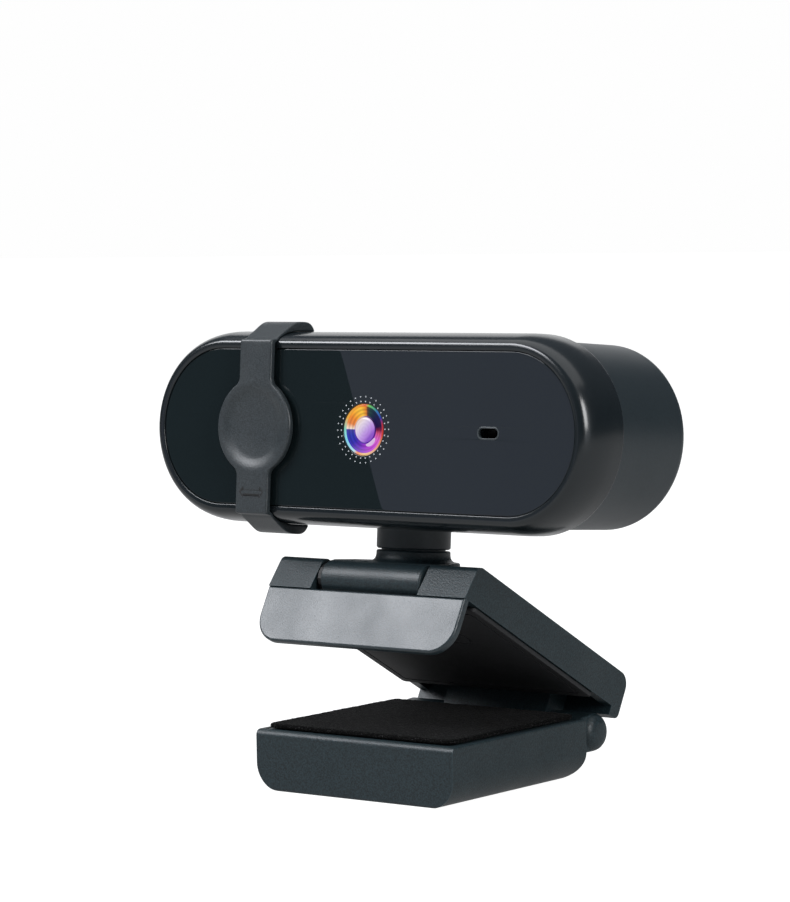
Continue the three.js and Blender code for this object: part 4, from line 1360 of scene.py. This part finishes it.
@dataclass
class TiltKnuckle:
    """The knuckle between arm and head: a barrel, a tongue and the collar that the neck turns on."""

    place: Matrix
    left: float = -11.05
    right: float = 11.1
    barrel_r: float = 3.3
    pin_r: float = 1.4
    tongue: Point = (0.2, 3.4)
    tongue_r: float = 8.4
    neck: Point = (0.25, 9.0)
    neck_r: float = 6.62
    flange_r: float = 8.0
    edge: float = 0.35
    washer_r: float = 3.3
    pan_r: float = 1.8
    pan_line: float = 5.4

    def build(self) -> None:
        """Makes the knuckle and finishes the nodes that stay."""
        x, y = self.neck
        plan = [(self.left, 0), (self.right, 0), (self.right, y - 3),
                *arc(self.neck, self.tongue_r, 0, 180, 32), (self.left, y - 3)]
        low, high = self.tongue
        knuckle = bar("tilt_knuckle", self.barrel_r, self.left, self.right, Axis.X, (0, 0), self.edge, 64)
        rise = self.pan_line - high
        collar = [(0, low + 0.5), (self.flange_r - 0.6, low + 0.5), (self.flange_r, high - 0.1),
                  *[(self.neck_r + (self.flange_r - self.neck_r) * (1 - math.sin(a)) ** 1.5,
                     high + (rise - 0.2) * (1 - math.cos(a)))
                    for a in (QUARTER * i / 8 for i in range(9))],
                  (self.neck_r - 0.15, self.pan_line), (self.neck_r - 0.9, self.pan_line),
                  (self.neck_r - 0.9, self.pan_line + 0.27), (0, self.pan_line + 0.27)]
        carve(knuckle, Carve.JOIN,
              slab("tongue", [plan], low, high, Axis.Z, self.edge, 4),
              turned("collar", collar, Axis.Z, self.neck, 64))
        carve(knuckle, Carve.CUT,
              bar("washer_seat", self.washer_r, low - 1, high - 1.2, Axis.Z, self.neck),
              bar("pan_hole", self.pan_r, 0, self.pan_line + 1, Axis.Z, self.neck),
              bar("pin_hole", self.pin_r, self.left - 1, self.right + 1, Axis.X))
        fit(knuckle, Body.KNUCKLE, Finishes.CLIP, self.place, ["knuckle"])
        refinish(Finishes.INNER, "tilt_washer")
        refinish(Finishes.STEEL, "pan_washer", "pan_screw")


# ------------------------------------------------------------------ camera head


@dataclass
class CameraHead:
    """The head: a rounded bezel with a polished front panel, the lens, and the rear housing."""

    place: Matrix
    length: float = 100.0
    height: float = 34.6
    glass_half: float = 13.95
    glass_thick: float = 1.2
    bezel_round: float = 7.2
    lip: Point = (14.45, -0.3)
    seam: float = 9.5
    step: float = 1.1
    back: float = 30.1
    back_round: float = 2.5
    wall: float = 1.8
    inner_rim: float = 12.6
    lens: Point = (0.6, 0.0)
    lens_r: float = 4.5
    mic: Point = (28.3, 0.0)
    mic_long: float = 4.5
    mic_high: float = 2.0
    mic_rim: Point = (0.14, -0.16)
    neck: Point = (-0.45, 16.3)
    neck_r: float = TiltKnuckle.neck_r
    neck_low: float = -20.9
    gland: Point = (0.0, -9.0)
    gland_r: float = 3.1
    gland_bore: float = 1.9
    gland_out: float = 1.4
    # Radii of a screw's column, of the well in it, of the well's mouth and of its pilot hole.
    column: tuple[float, float, float, float] = (3.2, 2.2, 2.55, 1.3)
    column_low: float = 8.4
    pan_r: float = TiltKnuckle.pan_r
    screws: Point = (38.0, 8.6)
    screw_seat: float = 14.0
    dot_rings: tuple[float, float] = (4.97, 5.8)
    dots: int = 30
    dot_r: float = 0.13
    dots_start: float = 86.0
    dot_deep: float = 0.03
    # Radius, half width, middle angle and half angle of the painted highlight at the pupil's lower right.
    painted_glint: tuple[float, float, float, float] = (2.62, 0.52, -57.0, 26.0)

    def build(self) -> None:
        """Makes every piece of the head and finishes the nodes that stay."""
        self.bezel()
        self.panel()
        self.printed_dots()
        self.lens_stack()
        self.housing()
        self.cable_gland()
        for i, point in enumerate(self.screw_points, 1):
            screw = PanScrew().make(f"case_cross_screw_{i}", Axis.Y, point, self.screw_seat + 1.5, 3.8)
            fit(screw, Body.HEAD, Finishes.STEEL, self.place, [f"case_screw_{i}"])
        refinish(Finishes.GLASS, "lens_rear_element", "ir_filter")
        refinish(Finishes.INNER, "lens_barrel", "aperture_ring", "lens_holder")
        refinish(Finishes.RUBBER, "mic_boot")
        refinish(Finishes.BOARD, "main_board")
        refinish(Finishes.CHIP, "image_sensor", "controller_chip", "flash_memory")
        refinish(Finishes.NYLON, "cable_connector")
        refinish(Finishes.STEEL, "board_screw_1", "board_screw_2", "microphone")

    @property
    def straight(self) -> float:
        """Half of the outline's straight part, the same at every height."""
        return (self.length - self.height) / 2

    @property
    def screw_points(self) -> list[Point]:
        """Where the four case screws are."""
        x, z = self.screws
        return [(-x, -z), (-x, z), (x, -z), (x, z)]

    def outline(self, half_high: float, steps: int = 48) -> Outline:
        """The head's long round-ended outline at a half height."""
        return stadium((0, 0), self.straight + half_high, half_high, steps)

    def sweep(self, name: str, profile: Sequence[Point], closed: bool) -> Thing:
        """Carries a profile round the head's outline.

        Args:
            name: the piece's name.
            profile: (half height, y) points.
            closed: whether the profile closes on itself; otherwise both ends are capped.

        Returns:
            The piece.
        """
        rings = [[Vector((x, y, z)) for x, z in self.outline(h)] for h, y in profile]
        return loft(name, rings, closed)

    def bezel(self) -> None:
        """Moulds the bezel: a seat for the glass, a raised bead, a groove and the long rounded shoulder."""
        h, y = self.lip
        top = self.height / 2
        inner = self.glass_half + 0.12
        foot = (h + 0.42, y + 0.03)
        band = [(inner, y + 0.22), (inner + 0.04, y + 0.12), (inner + 0.14, y + 0.06), (h + 0.3, y), foot]
        wide, deep = top - h - 0.42, self.bezel_round - 0.03
        shoulder = [(foot[0] + wide * math.sin(a), foot[1] + deep * (1 - math.cos(a)))
                    for a in (math.radians(4 + 86 * i / 28) for i in range(29))]
        seat = self.glass_thick + 0.25
        edge = [(top - inset, self.seam - short)
                for inset, short in ((0, 0.4), (0.05, 0.2), (0.2, 0.05), (0.4, 0), (self.wall, 0))]
        profile = [(self.inner_rim, seat), (inner, seat), *band, *shoulder, *edge,
                   (top - self.wall, 3.0), (self.inner_rim, 3.0)]
        ring = self.sweep("bezel_ring", profile, closed=True)
        slot = self.mic_slot(0, 12)
        carve(ring, Carve.JOIN,
              slab("web", [self.outline(13.2), circle(self.lens, 5.9), slot], seat + 0.1, 2.8, Axis.Y))
        fit(ring, Body.HEAD, Finishes.BEZEL, self.place, ["front_bezel"], crisp=38)

    def mic_slot(self, grow: float, steps: int = 16) -> Outline:
        """The microphone slot's outline, grown on every side."""
        return stadium(self.mic, self.mic_long / 2 + grow, self.mic_high / 2 + grow, steps)

    def panel(self) -> None:
        """Cuts the polished front panel with its lens hole and microphone slot, and rims the slot."""
        hole = circle(self.lens, self.lens_r + 0.05, 96)
        pane = slab("front_panel_glass", [self.outline(self.glass_half), hole, self.mic_slot(0)],
                    0, self.glass_thick, Axis.Y, 0.1, 2)
        fit(pane, Body.HEAD, Finishes.PANEL, self.place, ["front_glass"], crisp=60)
        rim = slab("microphone_rim", [self.mic_slot(grow) for grow in self.mic_rim], -0.06, 0.5,
                   Axis.Y, 0.05, 2)
        fit(rim, Body.HEAD, Finishes.COVER, self.place)

    def printed_dots(self) -> None:
        """Prints two rings of pale dots about the lens."""
        work = bmesh.new()
        for radius in self.dot_rings:
            for i in range(self.dots):
                turn = math.radians(self.dots_start + i * 360 / self.dots)
                x = (self.lens[0] + radius * math.cos(turn)) * MM
                z = (self.lens[1] + radius * math.sin(turn)) * MM
                spot = Matrix.Translation((x, -0.012 * MM, z)) @ Matrix.Rotation(QUARTER, 4, "X")
                bmesh.ops.create_cone(work, cap_ends=True, segments=16, radius1=self.dot_r * MM,
                                      radius2=self.dot_r * MM, depth=self.dot_deep * MM, matrix=spot)
        mesh = bpy.data.meshes.new("printed_dots")
        work.to_mesh(mesh)
        work.free()
        fit(new_object("printed_dots", mesh), Body.HEAD, Finishes.INK, self.place)

    def lens_stack(self) -> None:
        """Grinds the lens's coated front: bright rim, conical iris, violet step and domed pupil, all glowing
        with painted reflections, and a painted highlight.
        """
        r, well = self.lens_r, 2.45
        rim = [(r - 0.42, 1.4), (r - 0.42, 0.3), (r - 0.36, 0.12), (r - 0.22, 0.04), (r - 0.08, 0.08),
               (r - 0.02, 0.2), (r - 0.02, 1.4), (r - 0.42, 1.4)]
        iris = [(well - 0.1, 1.6), (well, 0.62), (well + 0.5, 0.56), (3.5, 0.42), (r - 0.44, 0.26),
                (r - 0.44, 1.6), (well - 0.1, 1.6)]
        line = [(well - 0.25, 1.6), (well - 0.24, 0.5), (well - 0.12, 0.44), (well - 0.01, 0.52),
                (well - 0.01, 1.6), (well - 0.25, 1.6)]
        dome = [(0.0, 1.6), (well - 0.26, 1.6), (well - 0.26, 0.52)]
        dome += [((well - 0.26) * math.cos(a), 0.52 - 0.32 * math.sin(a))
                 for a in (QUARTER * i / 10 for i in range(1, 10))]
        dome += [(0.0, 0.2)]
        spot = self.place @ Matrix.Translation((self.lens[0] * MM, 0, self.lens[1] * MM))
        parts = (("lens_rim", rim, Finishes.RIM, ()),
                 ("lens_iris", iris, Finishes.IRIS, ("lens_front_element",)),
                 ("lens_step", line, Finishes.STEP, ()),
                 ("lens_pupil", dome, Finishes.PUPIL, ()))
        for name, profile, finish, stands_for in parts:
            part = turned(name, profile, Axis.Y, (0, 0), 96)
            part.matrix_world = spot
            fit(part, Body.HEAD, finish, Matrix.Identity(4), stands_for, crisp=50)
        # Painted highlight: a glowing pale patch shaped like a lamp's reflection.
        reach, wide, middle, half = self.painted_glint
        sweep = [i / 12 for i in range(-12, 13)]
        edges = [[(t, reach + side * wide * math.sqrt(1 - t * t)) for t in sweep] for side in (1.0, -0.4)]
        kidney = []
        for t, radius in edges[0][:-1] + edges[1][:0:-1]:
            turn = math.radians(middle + half * t)
            kidney.append((radius * math.cos(turn), radius * math.sin(turn)))
        painted_glint = slab("lens_painted_highlight", [kidney], 0.36, 0.7, Axis.Y, 0.12, 3)
        painted_glint.matrix_world = spot
        fit(painted_glint, Body.HEAD, Finishes.PAINTED_GLINT, Matrix.Identity(4), crisp=50)

    def housing(self) -> None:
        """Moulds the rear housing with its spigot, screw wells, neck and cable hole."""
        top = self.height / 2 - self.step
        round_c = (top - self.back_round, self.back - self.back_round)
        inside = top - self.wall
        spigot = inside + 0.95
        profile = [(inside - 2.4, self.back - self.wall), (inside, self.back - self.wall),
                   (inside, self.seam - 1.9), (spigot, self.seam - 1.9), (spigot, self.seam + 0.3),
                   (top - 0.25, self.seam + 0.3), (top - 0.07, self.seam + 0.37), (top, self.seam + 0.55),
                   *arc(round_c, self.back_round, 0, 90, 14), (top - self.back_round - 1.2, self.back)]
        shell = self.sweep("rear_shell", profile, closed=False)
        x, y = self.neck
        flare, low = 1.0, -top
        neck = [(0, self.neck_low), (self.neck_r - 0.25, self.neck_low), (self.neck_r, self.neck_low + 0.25),
                *[(self.neck_r + flare * (1 - math.cos(a)), low - flare + flare * math.sin(a))
                  for a in (QUARTER * i / 10 for i in range(11))],
                (self.neck_r + flare, low + 1.0), (0, low + 1.0)]
        carve(shell, Carve.JOIN, turned("neck", neck, Axis.Z, (x, y), 72))
        column, hole, mouth, pilot = self.column
        for point in self.screw_points:
            well = [(0, self.screw_seat), (hole, self.screw_seat), (hole, self.back - mouth + hole),
                    (mouth, self.back), (mouth, self.back + 1), (0, self.back + 1)]
            carve(shell, Carve.JOIN,
                  bar("column", column, self.column_low, self.back - 0.5, Axis.Y, point))
            carve(shell, Carve.CUT, turned("well", well, Axis.Y, point, 40),
                  bar("pilot", pilot, 5, 20, Axis.Y, point, steps=24))
        carve(shell, Carve.CUT,
              bar("pan_hole", self.pan_r, self.neck_low - 1, self.neck_low + 4.6, Axis.Z, (x, y)),
              bar("gland_hole", self.gland_r - 0.3, self.back - 4, self.back + 1, Axis.Y, self.gland))
        fit(shell, Body.HEAD, Finishes.HOUSING, self.place, ["rear_housing"], crisp=38)

    def cable_gland(self) -> None:
        """Moulds the rubber gland that the cable comes out of."""
        face, neck, bore, r = self.back, self.gland_r - 0.6, self.gland_bore, self.gland_r
        inner, out = face - self.wall, face + self.gland_out
        profile = [(bore, inner - 1.6), (r - 0.2, inner - 1.6), (r, inner - 1.4), (r, inner - 0.5),
                   (r - 0.2, inner - 0.3), (neck, inner - 0.3), (neck, face + 0.15), (r, face + 0.15),
                   (r, face + 0.75), (r - 0.25, face + 0.95), (r - 0.35, face + 1.3), (r - 0.55, out),
                   (bore + 0.3, out), (bore, out - 0.3), (bore, inner - 1.6)]
        gland = turned("rubber_gland", profile, Axis.Y, self.gland, 64)
        fit(gland, Body.HEAD, Finishes.RUBBER, self.place, ["cable_gland"])


# ------------------------------------------------------------------ privacy cover


@dataclass(frozen=True)
class Station:
    """One place along the cover's ribbon.

    Args:
        inner: (y, z) of the side that faces the head.
        outer: (y, z) of the outer side.
        half: half of the ribbon's width here.
    """

    inner: Point
    outer: Point
    half: float


@dataclass
class PrivacyCover:
    """The sliding cover: a moulded strap with a dished disc, whose ends hook over the bezel."""

    place: Matrix
    x: float = -23.6
    half: float = 3.75
    thick: float = 1.2
    clear: float = 0.6
    disc_r: float = 8.6
    fillet: float = 1.9
    dish_r: float = 8.1
    dish_deep: float = 0.78
    dish_lip: float = 2.6
    edge: float = 0.36
    glass_half: float = 13.85    # where the strap's straight part ends
    lip: Point = CameraHead.lip
    top: float = CameraHead.height / 2
    bezel_round: float = CameraHead.bezel_round
    play: float = 0.1
    skin: float = 0.5
    crest: float = 1.7
    hook_back: float = 9.2
    hook_tail: float = 2.0
    hook_rise: Point = (0.7, 5.6)
    flare: float = 0.45
    fold: Point = (-1.8, 15.6)   # front edge of the fold between strap and hook
    arrow_z: float = -11.7
    arrow_half: Point = (2.9, 1.1)
    face_steps: int = 44
    strap_steps: int = 96

    def build(self) -> None:
        """Makes the cover."""
        stations = self.hook(-1)[::-1] + self.strap() + self.hook(1)
        rings = [self.ring(station) for station in stations]
        cover = loft("slide_cover", rings)
        fit(cover, Body.COVER, Finishes.COVER, self.place, ["privacy_cover"], crisp=50)
        fit(self.arrow(), Body.COVER, Finishes.INNER, self.place, crisp=60)

    def width_at(self, z: float) -> float:
        """Half of the cover's width at a height: disc, fillet, then strap.

        Args:
            z: the height above the disc's middle.

        Returns:
            Half of the width, in millimetres.
        """
        reach, side = self.disc_r + self.fillet, self.half + self.fillet
        fillet_z = math.sqrt(reach ** 2 - side ** 2)
        z = abs(z)
        if z <= fillet_z * self.disc_r / reach:
            return math.sqrt(self.disc_r ** 2 - z ** 2)
        if z < fillet_z:
            return side - math.sqrt(self.fillet ** 2 - (fillet_z - z) ** 2)
        return self.half

    def strap(self) -> list[Station]:
        """Lays out the straight part in front of the glass.

        Returns:
            Its stations, from the bottom up.
        """
        face, back = -self.clear - self.thick, -self.clear
        turns = [-1 + 2 * i / self.strap_steps for i in range(self.strap_steps + 1)]
        levels = [self.glass_half * t for t in turns]
        return [Station((back, z), (face, z), self.width_at(z)) for z in levels]

    def hook(self, side: int) -> list[Station]:
        """The hook over the bezel's shoulder, swelling to a crest and thinning to its tip.

        Args:
            side: 1 for the upper hook and -1 for the lower.

        Returns:
            Its stations, from the strap outwards.
        """
        start, lip_y = self.lip
        rise = self.top - start
        face, back, fold = -self.clear - self.thick, -self.clear, self.fold[1]
        below = self.glass_half + (fold - self.glass_half) * 0.5
        corner = [((back, below - 0.5), (face, below)), ((back, below - 0.1), (face, fold - 0.42)),
                  ((back + 0.02, below + 0.1), (face + 0.04, fold - 0.18)),
                  ((back + 0.04, below + 0.2), (face + 0.16, fold - 0.04)),
                  ((back + 0.06, below + 0.3), (face + 0.36, fold))]
        stations = [Station((i[0], side * i[1]), (o[0], side * o[1]), self.half) for i, o in corner]
        turns = 24
        for i in range(5, turns + 1):
            angle = QUARTER * i / turns
            spot = Vector((lip_y + self.bezel_round * (1 - math.cos(angle)), start + rise * math.sin(angle)))
            out = Vector((-math.cos(angle) / self.bezel_round, math.sin(angle) / rise)).normalized()
            near = spot + self.play * out
            far = spot + (self.play + self.swell(spot.x)) * out
            stations.append(self.over(near, far, side))
        steps = 8
        for i in range(1, steps + 1):
            y = lip_y + self.bezel_round + (self.hook_back - lip_y - self.bezel_round) * i / steps
            low = self.top + self.play
            end = max(0.0, 1 - (self.hook_back - y) / self.hook_tail)
            high = low + self.swell(y) * math.sqrt(1 - 0.93 * end ** 2)
            stations.append(self.over(Vector((y, low)), Vector((y, high)), side))
        return stations

    def over(self, near: Vector, far: Vector, side: int) -> Station:
        """A station over the bezel, wider towards the hook's crest.

        Args:
            near: (y, height) of its inner side.
            far: (y, height) of its outer side.
            side: 1 for the upper hook and -1 for the lower.

        Returns:
            The station.
        """
        back = min(max((far.x - 1.0) / (self.hook_back - 3.0), 0.0), 1.0)
        half = self.half + self.flare * back * back * (3 - 2 * back)
        return Station((near.x, side * near.y), (far.x, side * far.y), half)

    def swell(self, y: float) -> float:
        """How thick the hook is, by how far back it is."""
        rise = min(max((y - self.hook_rise[0]) / (self.hook_rise[1] - self.hook_rise[0]), 0.0), 1.0)
        return self.skin + (self.crest - self.skin) * rise * rise * (3 - 2 * rise)

    def ring(self, station: Station) -> Ring:
        """The cross-section at a station: a flat strip with rounded edges, dished where the disc is.

        Args:
            station: the place along the ribbon.

        Returns:
            The closed ring of points.
        """
        inner, outer = Vector(station.inner), Vector(station.outer)
        deep = (outer - inner).length
        r = min(self.edge, deep / 2 - 0.03)
        half = station.half
        flat = [-1 + 2 * i / self.face_steps for i in range(self.face_steps + 1)]
        front = [((half - r) * t, deep) for t in flat]
        right = arc((half - r, deep - r), r, 90, 0, 4)[1:] + arc((half - r, r), r, 0, -90, 4)
        rear = [((half - r) * -t, 0.0) for t in flat[1:]]
        left = arc((-half + r, r), r, -90, -180, 4)[1:] + arc((-half + r, deep - r), r, 180, 90, 4)[:-1]
        ring = []
        for i, (x, height) in enumerate(front + right + rear + left):
            if i < len(front):
                height -= self.dish(math.hypot(x, outer.y)) if outer.x < -self.clear else 0.0
            spot = inner + (outer - inner) * (height / deep)
            ring.append(Vector((self.x + x, spot.x, spot.y)))
        return ring

    def dish(self, radius: float) -> float:
        """How deep the dish is at a distance from the disc's middle.

        Args:
            radius: that distance.

        Returns:
            The depth, in millimetres.
        """
        if radius >= self.dish_r:
            return 0.0
        wall = min((self.dish_r - radius) / self.dish_lip, 1.0)
        return self.dish_deep * wall * wall * (3 - 2 * wall) * (1 - 0.7 * (radius / self.dish_r) ** 2)

    def arrow(self) -> Thing:
        """Makes a plain two-way arrow in fine dark lines, to show that the cover slides.

        Returns:
            The arrow.
        """
        long, high = self.arrow_half
        line, neck, barb = 0.2, 0.36, 1.0

        def shape(inset: float) -> Outline:
            """Draws the arrow's outline.

            Args:
                inset: how far it is shrunk on every side.

            Returns:
                The closed outline's points.
            """
            tip, wing, stem = long - 1.6 * inset, high - 1.7 * inset, high * neck - inset * 0.55
            root = long - barb - 0.2 * inset
            half = [(root, -stem), (root, -wing), (tip, 0), (root, wing), (root, stem)]
            return [(self.x + x, self.arrow_z + z) for x, z in half + [(-x, -z) for x, z in half]]

        face = -self.clear - self.thick
        return slab("slide_arrow", [shape(0.0), shape(line)], face - 0.03, face + 0.13, Axis.Y)


# ------------------------------------------------------------------ studio


@dataclass(frozen=True)
class SoftBox:
    """A soft light aimed at the webcam.

    Args:
        name: its name.
        azimuth: where it stands, in degrees from straight ahead of the lens side, to the right.
        elevation: how high, in degrees.
        distance: how far off, in metres.
        size: its width and height, in metres.
        power: its power in watts.
        tint: its colour in sRGB hex.
    """

    name: str
    azimuth: float
    elevation: float
    distance: float
    size: Point
    power: float
    tint: str = "#ffffff"

    def place(self, target: Vector) -> None:
        """Sets the light up.

        Args:
            target: the point that it is aimed at.
        """
        light = bpy.data.lights.new(self.name, "AREA")
        light.shape = "RECTANGLE"
        light.size, light.size_y = self.size
        light.energy = self.power
        light.color = srgb(self.tint)[:3]
        lamp = bpy.data.objects.new(self.name, light)
        bpy.context.scene.collection.objects.link(lamp)
        away = direction(self.azimuth, self.elevation)
        lamp.location = target + away * self.distance
        lamp.rotation_euler = away.to_track_quat("Z", "Y").to_euler()
        lamp.visible_camera = False


def direction(azimuth: float, elevation: float) -> Vector:
    """The direction towards a place round the webcam, from its azimuth and elevation in degrees."""
    turn, rise = math.radians(azimuth), math.radians(elevation)
    return Vector((math.sin(turn) * math.cos(rise), -math.cos(turn) * math.cos(rise), math.sin(rise)))


@dataclass
class Studio:
    """Camera, floor, lights and the panel's reflection card."""

    places: Places
    azimuth: float = 37.978
    elevation: float = 3.883
    roll: float = -1.07
    distance: float = 0.634717
    target: tuple[float, float, float] = (-4.881, 20.0, 59.88)
    lens_mm: float = 141.2
    floor_size: float = 12.0
    floor_colour: str = "#f4f4f4"
    floor_light: float = 1.08
    floor_bounce: float = 0.42   # what the floor's own light gives to the webcam
    card_reach: float = 2.6
    card_light: float = 1.0
    card_tint: str = "#b2b4cc"
    # Two points of the slanted edge of the card's reflection on the glass, and how far it reaches beyond.
    card_high: Point = (-5.1, 13.8)
    card_low: Point = (5.2, -13.5)
    card_end: Point = (90.0, 24.0)
    # The room's dim light from below, from the horizon and from above.
    room: tuple[tuple[float, str], ...] = (
        (0.0, "#9aa0a6"), (0.5, "#50565c"), (0.62, "#43484e"), (1.0, "#868c94"))
    boxes: tuple[SoftBox, ...] = (
        SoftBox("key", -44, 36, 1.3, (0.8, 0.5), 18.0, "#f8faff"),
        SoftBox("overhead", 0, 92, 0.9, (1.6, 0.8), 4.6),
        SoftBox("back_left", -141, 16, 1.5, (1.6, 0.7), 3.0),
        SoftBox("fill_right", 78, 12, 1.2, (0.6, 0.9), 1.4, "#e4ecf6"),
        SoftBox("spark_right", 74, 22, 0.9, (0.26, 0.4), 4.5),
    )

    def build(self) -> None:
        """Sets the whole studio up."""
        middle = self.places.base @ (Vector(self.target) * MM)
        self.camera(middle)
        self.floor()
        self.world()
        self.card()
        for box in self.boxes:
            box.place(middle)
        bpy.context.scene.view_settings.view_transform = "Standard"

    def camera(self, middle: Vector) -> None:
        """Stands the camera at its angle.

        Args:
            middle: the point that it looks at.
        """
        back = direction(self.azimuth, self.elevation)
        level = Vector((math.cos(math.radians(self.azimuth)), math.sin(math.radians(self.azimuth)), 0))
        above = back.cross(level)
        turn = math.radians(self.roll)
        right = math.cos(turn) * level + math.sin(turn) * above
        up = math.cos(turn) * above - math.sin(turn) * level
        view = bpy.data.cameras.new("camera")
        view.lens = self.lens_mm
        view.sensor_width = 36.0
        view.clip_start, view.clip_end = 0.01, 50.0
        holder = bpy.data.objects.new("camera", view)
        bpy.context.scene.collection.objects.link(holder)
        pose = Matrix((right, up, back)).transposed().to_4x4()
        holder.matrix_world = Matrix.Translation(middle + back * self.distance) @ pose
        bpy.context.scene.camera = holder
        self.eye = holder.matrix_world.translation.copy()

    def floor(self) -> None:
        """Lays a plain pale floor that stays even under the soft light."""
        half = self.floor_size / 2
        mesh = bpy.data.meshes.new("floor")
        corners = [(-half, -half, 0), (half, -half, 0), (half, half, 0), (-half, half, 0)]
        mesh.from_pydata(corners, [], [(0, 1, 2, 3)])
        plane = new_object("floor", mesh)
        material = blank("pale_matt_floor")
        tree = material.node_tree
        matt = add(tree, "ShaderNodeBsdfDiffuse", {"Color": srgb(self.floor_colour, 0.22)})
        seen = add(tree, "ShaderNodeLightPath").outputs["Is Camera Ray"]
        level = add(tree, "ShaderNodeMapRange", {
            "Value": seen, "To Min": self.floor_bounce, "To Max": self.floor_light}).outputs["Result"]
        lit = add(tree, "ShaderNodeEmission", {"Color": srgb(self.floor_colour), "Strength": level})
        both = add(tree, "ShaderNodeAddShader", {0: matt.outputs["BSDF"], 1: lit.outputs["Emission"]})
        add(tree, "ShaderNodeOutputMaterial", {"Surface": both.outputs["Shader"]})
        plane.data.materials.append(material)

    def world(self) -> None:
        """Surrounds the webcam with a white backdrop, in a room that adds only a dim light."""
        world = bpy.data.worlds.new("backdrop")
        world.use_nodes = True
        tree = world.node_tree
        tree.nodes.clear()
        way = add(tree, "ShaderNodeTexCoord").outputs["Generated"]
        upward = add(tree, "ShaderNodeSeparateXYZ", {"Vector": way}).outputs["Z"]
        height = add(tree, "ShaderNodeMapRange", {"Value": upward, "From Min": -1.0}).outputs["Result"]
        room = add(tree, "ShaderNodeValToRGB", {"Fac": height},
                   stops=[(at, srgb(code)) for at, code in self.room])
        seen = add(tree, "ShaderNodeLightPath").outputs["Is Camera Ray"]
        sky = add(tree, "ShaderNodeMix", {0: seen, 6: room.outputs["Color"], 7: srgb("#fefefe")},
                  data_type="RGBA")
        backdrop = add(tree, "ShaderNodeBackground", {"Color": sky.outputs[2]})
        add(tree, "ShaderNodeOutputWorld", {"Surface": backdrop.outputs["Background"]})
        bpy.context.scene.world = world

    def card(self) -> None:
        """Hangs a pale card where the front panel mirrors it, so that part of the panel shines."""
        head = self.places.head
        front = (head.to_3x3() @ Vector((0, -1, 0))).normalized()
        origin = head.translation
        mirrored = self.eye - 2 * (self.eye - origin).dot(front) * front
        high, low = self.card_high, self.card_low
        side, end = self.card_end
        slope = (low[0] - high[0]) / (low[1] - high[1])
        corners = [(high[0] + slope * (end - high[1]), end), (side, end), (side, -end),
                   (low[0] + slope * (-end - low[1]), -end)]
        spots = []
        for x, z in corners:
            glass = head @ (Vector((x, 0, z)) * MM)
            spots.append(mirrored + (glass - mirrored) * self.card_reach)
        mesh = bpy.data.meshes.new("card")
        mesh.from_pydata(spots, [], [(0, 1, 2, 3)])
        board = new_object("card", mesh)
        material = blank("lit_card")
        tree = material.node_tree
        glow = add(tree, "ShaderNodeEmission", {"Color": srgb(self.card_tint), "Strength": self.card_light})
        add(tree, "ShaderNodeOutputMaterial", {"Surface": glow.outputs["Emission"]})
        board.data.materials.append(material)
        board.visible_camera = False
        board.visible_shadow = False


# ------------------------------------------------------------------ the whole


def main() -> None:
    """Builds the webcam piece by piece, then its studio."""
    logging.basicConfig(level=logging.INFO, format="%(name)s: %(message)s")
    places = Places.from_frame(CameraHead.glass_thick / 2)
    studio = Studio(places)
    for part in (studio, BaseFoot(places.base), ClipArm(places.arm), TiltKnuckle(places.tilt),
                 CameraHead(places.head), PrivacyCover(places.head)):
        log.info("building %s", type(part).__name__)
        part.build()


if __name__ == "__main__":
    main()
